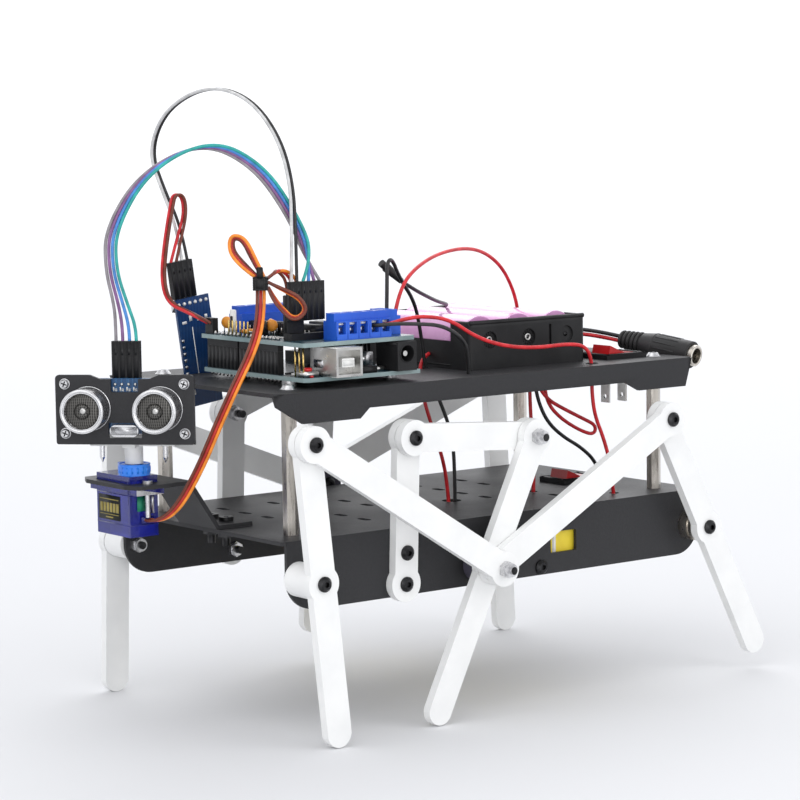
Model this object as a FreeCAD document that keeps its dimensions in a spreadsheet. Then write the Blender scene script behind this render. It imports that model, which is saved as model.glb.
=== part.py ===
import FreeCAD, Part
import math
import os
import Sketcher

# Six-legged walking robot. Millimetres. The robot faces -Y, its left side is +X, and Z is up
# from the floor. Both sides carry the same leg linkage, in different phases of the step.

V = FreeCAD.Vector
doc = FreeCAD.newDocument("hexapod_robot")

# ---------------------------------------------------------------- driving dimensions
DIMS = {
    "sheet_gauge": 1.5,        # bent sheet of both decks
    "half_width": 55.5,        # outer face of the side flanges
    "deck_reach": 104.0,       # half length of both decks
    "lower_top": 74.5,         # top face of the lower deck
    "lower_flange": 25.9,      # height of the lower flanges
    "upper_top": 128.3,        # top face of the upper deck
    "standoff_across": 5.0,    # hexagon across flats
    "standoff_x": 42.0,
    "standoff_y": 90.8,
    "hip_y": 97.5,             # hip pivots from the middle
    "hip_height": 60.5,
    "crank_y": -2.0,           # motor shafts
    "crank_radius": 14.5,
    "leg_upper": 51.5,         # hip to top pivot of a front or rear leg
    "leg_lower": 61.0,         # hip to foot tip
    "middle_upper": 53.0,      # crank pin to top pivot of a middle leg
    "middle_lower": 63.2,      # crank pin to foot tip
    "coupler_length": 102.5,
    "rocker_length": 56.0,
    "bar_width": 10.6,
    "bar_gauge": 3.7,
    "bar_pitch": 4.0,          # from one layer of bars to the next
    "eye_radius": 6.7,
    "pin_radius": 1.5,
    "pivot_radius": 1.6,
    "slack_radius": 2.45,
    "head_radius": 2.85,
    "head_height": 1.65,
    "nut_across": 5.5,
    "nut_height": 4.0,
    "board_length": 68.6,
    "board_width": 53.3,
    "shield_width": 51.8,
    "board_gauge": 1.6,
    "holder_length": 77.0,
    "holder_width": 59.6,
    "holder_height": 19.0,
    "cell_radius": 9.1,
    "transducer_radius": 8.1,
    "servo_length": 22.8,
    "servo_width": 12.2,
    "servo_height": 22.6,
    "turret_radius": 5.9,
    "wire_radius": 0.75,
}
sheet = doc.addObject("Spreadsheet::Sheet", "dims")
for row, (alias, value) in enumerate(DIMS.items(), start=1):
    sheet.set("A%d" % row, alias)
    sheet.set("B%d" % row, str(value))
    sheet.setAlias("B%d" % row, alias)
doc.recompute()

# where the middle of the four standoffs sits in the finished frame
SHIFT = V(0.0, 0.0, 0.0)

NODES = []


def size(value):
    """A number, or the value behind a spreadsheet alias."""
    return float(DIMS[value]) if isinstance(value, str) else float(value)


def bind(obj, prop, value):
    """Set a size, as a link to the spreadsheet when it is named there."""
    if isinstance(value, str):
        obj.setExpression(prop, "dims." + value)
    else:
        setattr(obj, prop, value)


def add(kind, name):
    return doc.addObject(kind, name)


def node(obj, label):
    """Give a finished sub-part its own label."""
    obj.Label = label
    NODES.append(obj)
    return obj


def turn(axis, degrees):
    return FreeCAD.Rotation(V(*axis), degrees)


AXES = {"x": turn((0, 1, 0), 90), "-x": turn((0, 1, 0), -90), "y": turn((1, 0, 0), -90),
        "-y": turn((1, 0, 0), 90), "z": turn((0, 0, 1), 0), "-z": turn((1, 0, 0), 180)}


def box(name, corner, lengths):
    solid = add("Part::Box", name)
    for prop, value in zip(("Length", "Width", "Height"), lengths):
        bind(solid, prop, value)
    solid.Placement.Base = V(*corner)
    return solid


def cylinder(name, base, axis, radius, height):
    solid = add("Part::Cylinder", name)
    bind(solid, "Radius", radius)
    bind(solid, "Height", height)
    rotation = AXES[axis] if isinstance(axis, str) else axis
    solid.Placement = FreeCAD.Placement(V(*base), rotation)
    return solid


def cone(name, base, axis, radius1, radius2, height):
    solid = add("Part::Cone", name)
    bind(solid, "Radius1", radius1)
    bind(solid, "Radius2", radius2)
    bind(solid, "Height", height)
    rotation = AXES[axis] if isinstance(axis, str) else axis
    solid.Placement = FreeCAD.Placement(V(*base), rotation)
    return solid


def hexagon(name, base, axis, across, height):
    solid = add("Part::Prism", name)
    solid.Polygon = 6
    if isinstance(across, str):
        solid.setExpression("Circumradius", "dims.%s / 1.7320508" % across)
    else:
        solid.Circumradius = across / math.sqrt(3.0)
    bind(solid, "Height", height)
    solid.Placement = FreeCAD.Placement(V(*base), AXES[axis])
    return solid


def fuse(name, *parts):
    joined = add("Part::MultiFuse", name)
    joined.Shapes = list(parts)
    joined.Refine = True
    return joined


def cut(name, base, *tools):
    tool = tools[0] if len(tools) == 1 else fuse(name + "_tools", *tools)
    result = add("Part::Cut", name)
    result.Base = base
    result.Tool = tool
    result.Refine = True
    return result


def group(name, *parts):
    """Separate solids that make up one sub-part."""
    together = add("Part::Compound", name)
    together.Links = list(parts)
    return together


def turned(obj, centre, axis, degrees):
    """Turn a finished object about a line through a point."""
    rotation = FreeCAD.Placement(V(), turn(axis, degrees), V(*centre))
    obj.Placement = rotation.multiply(obj.Placement)
    return obj


# ---------------------------------------------------------------- sketch helpers
def plane_of(body, role):
    return next(item for item in body.Origin.OriginFeatures if item.Role == role)


def sketch_on(body, name, role, offset=0.0):
    sketch = body.newObject("Sketcher::SketchObject", name)
    sketch.AttachmentSupport = [(plane_of(body, role), "")]
    sketch.MapMode = "FlatFace"
    sketch.AttachmentOffset = FreeCAD.Placement(V(0, 0, offset), FreeCAD.Rotation())
    return sketch


def add_circle(sketch, centre, radius):
    index = sketch.addGeometry(Part.Circle(V(centre[0], centre[1], 0), V(0, 0, 1), size(radius)), False)
    constraint = sketch.addConstraint(Sketcher.Constraint("Radius", index, size(radius)))
    if isinstance(radius, str):
        sketch.setExpression("Constraints[%d]" % constraint, "dims." + radius)
    return index


def rounded(points, radii):
    """Corner points of an outline turned into runs and tangent arcs."""
    pieces = []
    count = len(points)
    starts = []
    for i in range(count):
        here = V(points[i][0], points[i][1], 0)
        before = V(points[i - 1][0], points[i - 1][1], 0)
        after = V(points[(i + 1) % count][0], points[(i + 1) % count][1], 0)
        radius = radii[i] if isinstance(radii, (list, tuple)) else radii
        back = (before - here).normalize()
        ahead = (after - here).normalize()
        if radius <= 0:
            starts.append((here, None, here))
            continue
        half = back.getAngle(ahead) / 2.0
        reach = radius / math.tan(half)
        first = here + back * reach
        last = here + ahead * reach
        centre = here + (back + ahead).normalize() * (radius / math.sin(half))
        middle = centre + (here - centre).normalize() * radius
        starts.append((first, middle, last))
    for i in range(count):
        first, middle, last = starts[i]
        if middle is not None:
            pieces.append(Part.Arc(first, middle, last))
        begin = starts[(i + 1) % count][0]
        if (begin - last).Length > 1e-6:
            pieces.append(Part.LineSegment(last, begin))
    return pieces


def add_outline(sketch, points, radii=0.0):
    sketch.addGeometry(rounded(points, radii), False)


def pad(body, sketch, name, length, reverse=False):
    feature = body.newObject("PartDesign::Pad", name)
    feature.Profile = sketch
    bind(feature, "Length", length)
    feature.Reversed = reverse
    sketch.Visibility = False
    return feature


def pocket(body, sketch, name, length):
    """A pocket that runs both ways from its sketch."""
    feature = body.newObject("PartDesign::Pocket", name)
    feature.Profile = sketch
    feature.Length = length
    feature.Midplane = True
    sketch.Visibility = False
    return feature


def new_body(label):
    return add("PartDesign::Body", label)


def plate(label, role, points, radii, start, gauge, holes=(), cutouts=()):
    """A flat piece: a padded outline with round holes and shaped cut-outs."""
    body = new_body(label)
    outline = sketch_on(body, label + "_outline", role, start)
    add_outline(outline, points, radii)
    pad(body, outline, label + "_pad", gauge)
    if holes:
        drill = sketch_on(body, label + "_drill", role, start)
        for hole in holes:
            add_circle(drill, hole[0], hole[1])
        pocket(body, drill, label + "_holes", 4 * size(gauge))
    if cutouts:
        slots = sketch_on(body, label + "_slots", role, start)
        for corners, corner_radius in cutouts:
            add_outline(slots, corners, corner_radius)
        pocket(body, slots, label + "_cut", 4 * size(gauge))
    return body


def rectangle(x0, x1, y0, y1):
    return [(x0, y0), (x1, y0), (x1, y1), (x0, y1)]


# ---------------------------------------------------------------- linkage positions
def meet(centre_a, radius_a, centre_b, radius_b, side):
    """Where two circles cross, on the chosen side of the line between them."""
    a, b = V(centre_a[0], centre_a[1], 0), V(centre_b[0], centre_b[1], 0)
    gap = (b - a).Length
    along = (radius_a ** 2 - radius_b ** 2 + gap ** 2) / (2 * gap)
    across = math.sqrt(radius_a ** 2 - along ** 2)
    line = (b - a).normalize()
    point = a + line * along + V(-line.y, line.x, 0) * (across * side)
    return (point.x, point.y)


HALF = size("half_width")
PITCH = size("bar_pitch")
GAUGE = size("bar_gauge")
SHEET = size("sheet_gauge")
HIP_Y, HIP_Z = size("hip_y"), size("hip_height")
CRANK = (size("crank_y"), HIP_Z)
POST_TOP = (-48.7, 108.6)
POST_SCREWS = ((-50.2, 65.3), (-50.7, 53.5))


def linkage(crank_degrees):
    """The pivots of one side as (y, z) for a crank angle measured from +Y towards +Z."""
    angle = math.radians(crank_degrees)
    reach = size("crank_radius")
    pin = (CRANK[0] + reach * math.cos(angle), CRANK[1] + reach * math.sin(angle))
    front_hip, rear_hip = (-HIP_Y, HIP_Z), (HIP_Y, HIP_Z)
    return {
        "pin": pin,
        "front_hip": front_hip,
        "rear_hip": rear_hip,
        "front_top": meet(front_hip, size("leg_upper"), pin, size("coupler_length"), 1),
        "rear_top": meet(rear_hip, size("leg_upper"), pin, size("coupler_length"), -1),
        "middle_top": meet(POST_TOP, size("rocker_length"), pin, size("middle_upper"), 1),
        "post_top": POST_TOP,
    }


SIDES = {"left": (1, linkage(-167.0)), "right": (-1, linkage(83.0))}


def layer(side, level):
    """Start of a bar layer on its side of the chassis, for a pad towards +X."""
    inner = HALF + PITCH * level + (0.15 if level else 0.0)
    return inner if side > 0 else -inner - GAUGE


def beyond(start, through, extra):
    """The point past `through` on the line from `start`."""
    dy, dz = through[0] - start[0], through[1] - start[1]
    gap = math.hypot(dy, dz)
    return (through[0] + dy / gap * extra, through[1] + dz / gap * extra)


def bar(label, side, level, start, end, eyes, holes):
    """A flat round-ended bar with wider eyes at its pivots."""
    body = new_body(label)
    offset = layer(side, level)
    half = size("bar_width") / 2
    dy, dz = end[0] - start[0], end[1] - start[1]
    gap = math.hypot(dy, dz)
    uy, uz = dy / gap, dz / gap
    strip = sketch_on(body, label + "_strip", "YZ_Plane", offset)

    def at(point, along, across):
        return V(point[0] + uy * along - uz * across, point[1] + uz * along + uy * across, 0)

    strip.addGeometry([
        Part.LineSegment(at(start, 0, half), at(end, 0, half)),
        Part.Arc(at(end, 0, half), at(end, half, 0), at(end, 0, -half)),
        Part.LineSegment(at(end, 0, -half), at(start, 0, -half)),
        Part.Arc(at(start, 0, -half), at(start, -half, 0), at(start, 0, half)),
    ], False)
    pad(body, strip, label + "_bar", "bar_gauge")
    for number, eye in enumerate(eyes):
        ring = sketch_on(body, "%s_eye%d" % (label, number), "YZ_Plane", offset)
        add_circle(ring, eye, "eye_radius")
        pad(body, ring, "%s_eye%d_pad" % (label, number), "bar_gauge")
    drill = sketch_on(body, label + "_drill", "YZ_Plane", offset)
    for centre, radius in holes:
        add_circle(drill, centre, radius)
    pocket(body, drill, label + "_holes", 40)
    return body


def screw(name, side, head_x, end_x, centre):
    """A button-head screw along X. head_x is the face the head sits on, outward is away from end_x."""
    out = 1 if head_x > end_x else -1
    axis = "x" if out * side > 0 else "-x"
    back = "-x" if out * side > 0 else "x"
    y, z = centre
    low = cylinder(name + "_rim", (side * head_x, y, z), axis, "head_radius", 0.7)
    dome = cone(name + "_dome", (side * (head_x + out * 0.7), y, z), axis, "head_radius", 1.9, 0.95)
    shank = cylinder(name + "_shank", (side * head_x, y, z), back, "pin_radius", abs(head_x - end_x))
    socket = hexagon(name + "_socket", (side * (head_x + out * 0.65), y, z), axis, 2.0, 1.2)
    return cut(name, fuse(name + "_body", low, dome, shank), socket)


def nut(name, side, inner_x, centre, height="nut_height"):
    """A lock nut along X from inner_x outwards, bored to clear its screw."""
    y, z = centre
    axis = "x" if side > 0 else "-x"
    tall = size(height)
    blank = hexagon(name + "_hex", (side * inner_x, y, z), axis, "nut_across", 0.62 * tall)
    collar = cylinder(name + "_collar", (side * (inner_x + 0.62 * tall), y, z), axis, 2.55, 0.38 * tall)
    bore = cylinder(name + "_bore", (side * (inner_x - 1), y, z), axis, "pin_radius", tall + 2)
    return cut(name, fuse(name + "_blank", blank, collar), bore)


# ---------------------------------------------------------------- lower chassis
LOW_TOP = size("lower_top")
LOW_EDGE = LOW_TOP - size("lower_flange")
REACH = size("deck_reach")
FLANGE_REACH = 102.5


def bent_chassis():
    """Lower deck: a channel with deep rounded flanges, one plate and two side walls."""
    body = new_body("lower_chassis")
    top = sketch_on(body, "lower_deck_outline", "XY_Plane", LOW_TOP - SHEET)
    add_outline(top, rectangle(-HALF, HALF, -REACH, REACH), 2.0)
    pad(body, top, "lower_deck", "sheet_gauge")
    for tag, start in (("left", HALF - SHEET), ("right", -HALF)):
        wall = sketch_on(body, tag + "_wall_outline", "YZ_Plane", start)
        corners = [(-FLANGE_REACH, LOW_TOP - 0.2), (-FLANGE_REACH, LOW_EDGE),
                   (FLANGE_REACH, LOW_EDGE), (FLANGE_REACH, LOW_TOP - 0.2)]
        add_outline(wall, corners, [0, 12.0, 12.0, 0])
        pad(body, wall, tag + "_wall", "sheet_gauge")
    drill = sketch_on(body, "flange_drill", "YZ_Plane", 0)
    for centre in ((-HIP_Y, HIP_Z), (HIP_Y, HIP_Z), POST_SCREWS[0], POST_SCREWS[1],
                   (18.5, HIP_Z - 8.8), (18.5, HIP_Z + 8.8)):
        add_circle(drill, centre, "pin_radius")
    add_circle(drill, CRANK, 4.5)
    add_outline(drill, rectangle(23.6, 36.8, 56.5, 64.8), 0.6)
    pocket(body, drill, "flange_holes", 2 * HALF + 10)
    slots = sketch_on(body, "deck_slots", "XY_Plane", LOW_TOP)
    for y in (-72, -48, -24, 24, 48):
        for x in (-30, -15, 0, 15, 30):
            add_outline(slots, rectangle(x - 3.5, x + 3.5, y - 1.6, y + 1.6), 1.59)
    for x in (-5, 5):
        add_circle(slots, (x, -94.5), "pin_radius")
    for x in (-1, 1):
        for y in (-1, 1):
            add_circle(slots, (x * size("standoff_x"), y * size("standoff_y")), "pin_radius")
    add_outline(slots, rectangle(-3.8, 9.8, 70.9, 90.1), 0.0)
    add_circle(slots, (13.5, 8.0), 4.0)
    add_circle(slots, (42.0, 69.0), 2.2)
    add_circle(slots, (19.0, 85.5), 2.2)
    pocket(body, slots, "deck_holes", 6)
    return body


node(bent_chassis(), "lower_chassis")

# ---------------------------------------------------------------- upper deck
UP_TOP = size("upper_top")
UP_LOW = UP_TOP - SHEET


def upper_deck():
    """Upper deck: shallow side flanges that deepen into a lobe at each end."""
    body = new_body("upper_deck")
    top = sketch_on(body, "upper_deck_outline", "XY_Plane", UP_LOW)
    corners = [(-HALF, -REACH - 1), (HALF, -REACH - 1), (HALF, REACH - 4), (-HALF, REACH - 4)]
    add_outline(top, corners, 3.0)
    pad(body, top, "upper_plate", "sheet_gauge")
    bottom, middle = 116.8, 120.5
    profile = [(-REACH - 3, UP_TOP - 0.3), (-REACH - 1.5, 123.6), (-93.9, bottom), (-68.0, bottom),
               (-63.7, middle), (63.5, middle), (70.8, bottom), (96.0, bottom),
               (99.5, UP_TOP - 0.3)]
    for tag, start in (("left", HALF - SHEET), ("right", -HALF)):
        wall = sketch_on(body, tag + "_skirt_outline", "YZ_Plane", start)
        add_outline(wall, profile, 0.0)
        pad(body, wall, tag + "_skirt", "sheet_gauge")
    holes = sketch_on(body, "upper_holes", "XY_Plane", UP_TOP)
    for x in (-1, 1):
        for y in (-1, 1):
            add_circle(holes, (x * size("standoff_x"), y * size("standoff_y")), "pin_radius")
    add_outline(holes, rectangle(-36.2, -33.6, -86.2, -69.2), 0.4)
    add_outline(holes, rectangle(26.7, 40.3, 67.4, 86.6), 0.0)
    for centre, radius in WIRE_HOLES:
        add_circle(holes, centre, radius)
    pocket(body, holes, "upper_cut", 6)
    return body


WIRE_HOLES = (((47.5, 52.8), 2.2), ((13.2, -6.0), 3.4), ((20.5, 46.8), 4.6))
node(upper_deck(), "upper_deck")

# ---------------------------------------------------------------- standoffs and screws
standoffs, deck_screws = [], []
for x in (-1, 1):
    for y in (-1, 1):
        tag = "%s_%s" % ("left" if x > 0 else "right", "front" if y < 0 else "rear")
        place = (x * size("standoff_x"), y * size("standoff_y"))
        standoffs.append(hexagon("standoff_" + tag, place + (LOW_TOP,), "z", "standoff_across",
                                 UP_LOW - LOW_TOP))
        head = cone("top_head_" + tag, place + (UP_TOP,), "z", 3.1, 1.9, 1.6)
        slot = box("top_slot_" + tag, (place[0] - 1.6, place[1] - 0.35, UP_TOP + 0.9), (3.2, 0.7, 1.2))
        slot2 = box("top_slot2_" + tag, (place[0] - 0.35, place[1] - 1.6, UP_TOP + 0.9), (0.7, 3.2, 1.2))
        shank = cylinder("top_shank_" + tag, place + (UP_LOW,), "z", "pin_radius", "sheet_gauge")
        deck_screws.append(cut("top_screw_" + tag, fuse("top_solid_" + tag, head, shank), slot, slot2))
        low = cone("low_head_" + tag, place + (LOW_TOP - SHEET,), "-z", 3.1, 1.9, 1.6)
        stub = cylinder("low_shank_" + tag, place + (LOW_TOP - SHEET,), "z", "pin_radius", "sheet_gauge")
        deck_screws.append(fuse("low_screw_" + tag, low, stub))
node(group("standoff_set", *standoffs), "standoffs")
node(group("deck_screw_set", *deck_screws), "deck_screws")

# ---------------------------------------------------------------- gearmotors
gearboxes, cans, black_screws, lock_nuts = [], [], [], []
INNER = HALF - SHEET
for tag, (side, _) in SIDES.items():
    x_far = side * (INNER - 18.8) if side > 0 else -INNER
    shell = box(tag + "_gear_shell", (x_far, CRANK[0] - 11.2, HIP_Z - 11.2), (18.8, 37.0, 22.4))
    barrel = box(tag + "_motor_shell", (x_far + 0.6, CRANK[0] + 25.8, HIP_Z - 11.0), (17.6, 15.0, 22.0))
    tab = box(tag + "_tab", (x_far + 7.9, CRANK[0] - 16.2, HIP_Z - 2.5), (3.0, 5.5, 5.0))
    tab_hole = cylinder(tag + "_tab_hole", (x_far + 5, CRANK[0] - 13.7, HIP_Z), "x", 1.5, 9)
    bores = [cylinder("%s_mount%d" % (tag, k), (x_far - 1, 18.5, HIP_Z + k * 8.8), "x", "pin_radius", 21)
             for k in (-1, 1)]
    shell_all = fuse(tag + "_shells", shell, barrel, tab)
    shaft_x = INNER if side > 0 else -INNER - 9.4
    shaft = cylinder(tag + "_shaft", (shaft_x, CRANK[0], HIP_Z), "x", 2.7, 9.4)
    flats = [box("%s_flat%d" % (tag, k), (shaft_x - 1, CRANK[0] + (1.85 if k else -4.85), HIP_Z - 4),
                 (12, 3.0, 8)) for k in (0, 1)]
    shaft_cut = cut(tag + "_output", shaft, *flats)
    gearboxes.append(fuse(tag + "_gearbox_solid", cut(tag + "_gearbox_cut", shell_all, tab_hole, *bores),
                          shaft_cut))
    can = cylinder(tag + "_can", (side * (INNER - 9.4), 39.0, HIP_Z), "y", 10.0, 18.0)
    trims = [box("%s_can_trim%d" % (tag, k), (side * (INNER - 9.4) + (7.6 if k else -12.6), 38.0, HIP_Z - 12),
                 (5.0, 22, 24)) for k in (0, 1)]
    boss = cylinder(tag + "_boss", (side * (INNER - 9.4), 57.0, HIP_Z), "y", 2.6, 1.8)
    cans.append(fuse(tag + "_can_solid", cut(tag + "_can_cut", can, *trims), boss))
    for k in (-1, 1):
        place = (18.5, HIP_Z + k * 8.8)
        black_screws.append(screw("%s_motor_screw%d" % (tag, k), side, HALF, INNER - 22.0, place))
        lock_nuts.append(nut("%s_motor_nut%d" % (tag, k), -side, -(INNER - 18.8), place, 2.4))
node(group("gearbox_set", *gearboxes), "gearboxes")
node(group("can_set", *cans), "motor_cans")

# ---------------------------------------------------------------- legs and linkage
spacers_front, spacers_rear = [], []
for tag, (side, pivots) in SIDES.items():
    front_hip, rear_hip = pivots["front_hip"], pivots["rear_hip"]
    # post, screwed to the flange, carrying the rocker
    post = bar(tag + "_post", side, 0, POST_TOP, POST_SCREWS[1], (POST_TOP, POST_SCREWS[1]),
               ((POST_TOP, "pin_radius"), (POST_SCREWS[0], "pin_radius"), (POST_SCREWS[1], "pin_radius")))
    node(post, tag + "_post")
    for number, place in enumerate(POST_SCREWS):
        black_screws.append(screw("%s_post_screw%d" % (tag, number), side, HALF + GAUGE, INNER - 4.6, place))
        lock_nuts.append(nut("%s_post_nut%d" % (tag, number), -side, -INNER, place, 2.4))
    black_screws.append(screw(tag + "_rocker_screw", side, HALF + 2 * PITCH, HALF - 6.5, POST_TOP))
    lock_nuts.append(nut(tag + "_rocker_nut", -side, -HALF, POST_TOP))
    # hip spacers and screws
    spacer = cylinder(tag + "_front_spacer", (side * HALF,) + front_hip, "x" if side > 0 else "-x",
                      6.4, 3 * PITCH - 0.15)
    bore = cylinder(tag + "_front_bore", (side * (HALF - 1),) + front_hip, "x" if side > 0 else "-x",
                    "pin_radius", 20)
    spacers_front.append(cut(tag + "_front_spacer_cut", spacer, bore))
    metal = cylinder(tag + "_rear_spacer", (side * HALF,) + rear_hip, "x" if side > 0 else "-x",
                     6.2, 2 * PITCH - 0.15)
    groove = cut(tag + "_rear_groove",
                 cylinder(tag + "_groove_out", (side * (HALF + 4.6),) + rear_hip,
                          "x" if side > 0 else "-x", 8.0, 1.2),
                 cylinder(tag + "_groove_in", (side * (HALF + 4),) + rear_hip,
                          "x" if side > 0 else "-x", 5.4, 3))
    bore = cylinder(tag + "_rear_bore", (side * (HALF - 1),) + rear_hip, "x" if side > 0 else "-x",
                    "pin_radius", 20)
    spacers_rear.append(cut(tag + "_rear_spacer_cut", metal, groove, bore))
    black_screws.append(screw(tag + "_front_hip_screw", side, HALF + 4 * PITCH, INNER - 5.0, front_hip))
    black_screws.append(screw(tag + "_rear_hip_screw", side, HALF + 3 * PITCH, INNER - 5.0, rear_hip))
    lock_nuts.append(nut(tag + "_front_hip_nut", -side, -INNER, front_hip))
    lock_nuts.append(nut(tag + "_rear_hip_nut", -side, -INNER, rear_hip))

    # legs: each carries the screw and nut of its own top pivot
    def leg(label, level, top, pivot, lower, hole, screw_head, screw_end, nut_start, nut_side):
        foot = beyond(top, pivot, size(lower) - size("bar_width") / 2)
        blade = bar(label + "_blade", side, level, top, foot, (top, pivot),
                    ((top, "pin_radius"), (pivot, hole)))
        pin = screw(label + "_pin", side, screw_head, screw_end, top)
        stop = nut(label + "_nut", nut_side * side, nut_side * nut_start, top)
        return node(group(label + "_set", blade, pin, stop), label)

    leg(tag + "_front_leg", 3, pivots["front_top"], front_hip, "leg_lower", "pivot_radius",
        HALF + 5 * PITCH, HALF + 7.0, HALF + 3 * PITCH + 0.15, -1)
    leg(tag + "_rear_leg", 2, pivots["rear_top"], rear_hip, "leg_lower", "pivot_radius",
        HALF + 4 * PITCH, HALF + 3.4, HALF + 2 * PITCH + 0.15, -1)
    leg(tag + "_middle_leg", 2, pivots["middle_top"], pivots["pin"], "middle_lower", "pivot_radius",
        HALF + PITCH - 0.1, HALF + 3 * PITCH + 5.0, HALF + 3 * PITCH - 0.15, 1)

    # couplers, rocker
    for name, level, top in (("front_coupler", 4, pivots["front_top"]), ("rear_coupler", 3, pivots["rear_top"])):
        piece = bar(tag + "_" + name, side, level, top, pivots["pin"], (top, pivots["pin"]),
                    ((top, "slack_radius"), (pivots["pin"], "pivot_radius")))
        node(piece, tag + "_" + name)
    rocker = bar(tag + "_rocker", side, 1, POST_TOP, pivots["middle_top"],
                 (POST_TOP, pivots["middle_top"]),
                 ((POST_TOP, "pivot_radius"), (pivots["middle_top"], "slack_radius")))
    node(rocker, tag + "_rocker")

    # crank on the motor shaft
    body = new_body(tag + "_crank")
    inner = HALF + 2.5
    start = inner if side > 0 else -inner - 5.0
    reach = size("crank_radius")
    direction = ((pivots["pin"][0] - CRANK[0]) / reach, (pivots["pin"][1] - CRANK[1]) / reach)
    web = sketch_on(body, tag + "_crank_outline", "YZ_Plane", start)
    across = (-direction[1] * 6.4, direction[0] * 6.4)
    far_cap = beyond(CRANK, pivots["pin"], 6.4)
    near_cap = beyond(pivots["pin"], CRANK, 6.4)
    web.addGeometry([
        Part.LineSegment(V(CRANK[0] + across[0], CRANK[1] + across[1], 0),
                         V(pivots["pin"][0] + across[0], pivots["pin"][1] + across[1], 0)),
        Part.Arc(V(pivots["pin"][0] + across[0], pivots["pin"][1] + across[1], 0), V(far_cap[0], far_cap[1], 0),
                 V(pivots["pin"][0] - across[0], pivots["pin"][1] - across[1], 0)),
        Part.LineSegment(V(pivots["pin"][0] - across[0], pivots["pin"][1] - across[1], 0),
                         V(CRANK[0] - across[0], CRANK[1] - across[1], 0)),
        Part.Arc(V(CRANK[0] - across[0], CRANK[1] - across[1], 0), V(near_cap[0], near_cap[1], 0),
                 V(CRANK[0] + across[0], CRANK[1] + across[1], 0)),
    ], False)
    pad(body, web, tag + "_crank_web", 5.0)
    drill = sketch_on(body, tag + "_crank_drill", "YZ_Plane", start)
    add_circle(drill, CRANK, 2.75)
    add_circle(drill, pivots["pin"], "pin_radius")
    pocket(body, drill, tag + "_crank_bores", 40)
    node(body, tag + "_crank")
    pin = screw(tag + "_pin_screw", side, HALF + 2.4, HALF + 5 * PITCH + 5.2, pivots["pin"])
    stop = nut(tag + "_pin_nut", side, HALF + 5 * PITCH, pivots["pin"])
    node(group(tag + "_crank_pin_set", pin, stop), tag + "_crank_pin")

node(group("front_spacer_set", *spacers_front), "front_hip_spacers")
node(group("rear_spacer_set", *spacers_rear), "rear_hip_spacers")

# ---------------------------------------------------------------- servo and its bracket
AXIS_X, AXIS_Y = 0.0, -131.5
EAR_Z = 92.5                      # underside of the bracket's top plate
STRAP_Z = LOW_TOP                 # foot of the bracket on the lower deck
bracket = new_body("servo_bracket")
profile = sketch_on(bracket, "bracket_profile", "YZ_Plane", -13.0)
add_outline(profile, [(-88.0, LOW_TOP), (-88.0, LOW_TOP + SHEET), (-103.0, LOW_TOP + SHEET),
                      (-115.0, EAR_Z + SHEET), (-124.0, EAR_Z + SHEET), (-124.0, EAR_Z),
                      (-116.0, EAR_Z), (-104.0, LOW_TOP)], 0.0)
pad(bracket, profile, "bracket_strap", 26.0)
wing = sketch_on(bracket, "bracket_wing_outline", "XY_Plane", EAR_Z)
SERVO_X0 = AXIS_X + 6.0 - size("servo_length")
SERVO_X1 = AXIS_X + 6.0
add_outline(wing, [(SERVO_X0 - 8.0, AXIS_Y - 6.5), (SERVO_X0 - 2.0, AXIS_Y - 9.5), (SERVO_X1 + 2.0, AXIS_Y - 9.5),
                   (SERVO_X1 + 8.0, AXIS_Y - 6.5), (SERVO_X1 + 8.0, AXIS_Y + 6.5), (13.0, AXIS_Y + 9.5),
                   (13.0, AXIS_Y + 14.0), (-13.0, AXIS_Y + 14.0), (-13.0, AXIS_Y + 9.5),
                   (SERVO_X0 - 8.0, AXIS_Y + 6.5)], [2, 3, 3, 2, 2, 0, 0, 0, 0, 2])
pad(bracket, wing, "bracket_wing", "sheet_gauge")
window = sketch_on(bracket, "bracket_window", "XY_Plane", EAR_Z)
add_outline(window, rectangle(SERVO_X0 - 0.3, SERVO_X1 + 0.3, AXIS_Y - 6.4, AXIS_Y + 6.4), 0.3)
for x in (SERVO_X0 - 2.6, SERVO_X1 + 2.6):
    add_circle(window, (x, AXIS_Y), 1.1)
for x in (-5, 5):
    add_circle(window, (x, -94.5), "pin_radius")
pocket(bracket, window, "bracket_cut", 60)
node(bracket, "servo_bracket")
for number, x in enumerate((-5, 5)):
    head = cylinder("bracket_head%d" % number, (x, -94.5, LOW_TOP + SHEET), "z", "head_radius", "head_height")
    socket = hexagon("bracket_socket%d" % number, (x, -94.5, LOW_TOP + SHEET + 0.6), "z", 2.0, 1.5)
    shank = cylinder("bracket_shank%d" % number, (x, -94.5, LOW_TOP - 8.0), "z", "pin_radius", 8.0 + SHEET)
    clamp = cut("bracket_nut_cut%d" % number,
                hexagon("bracket_nut%d" % number, (x, -94.5, LOW_TOP - SHEET - 3.0), "z", "nut_across", 3.0),
                cylinder("bracket_nut_bore%d" % number, (x, -94.5, LOW_TOP - 9), "z", "pin_radius", 9))
    black_screws.append(cut("bracket_screw%d" % number, fuse("bracket_solid%d" % number, head, shank), socket))
    black_screws.append(clamp)
node(group("black_screw_set", *black_screws), "black_screws")
node(group("lock_nut_set", *lock_nuts), "lock_nuts")

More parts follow.
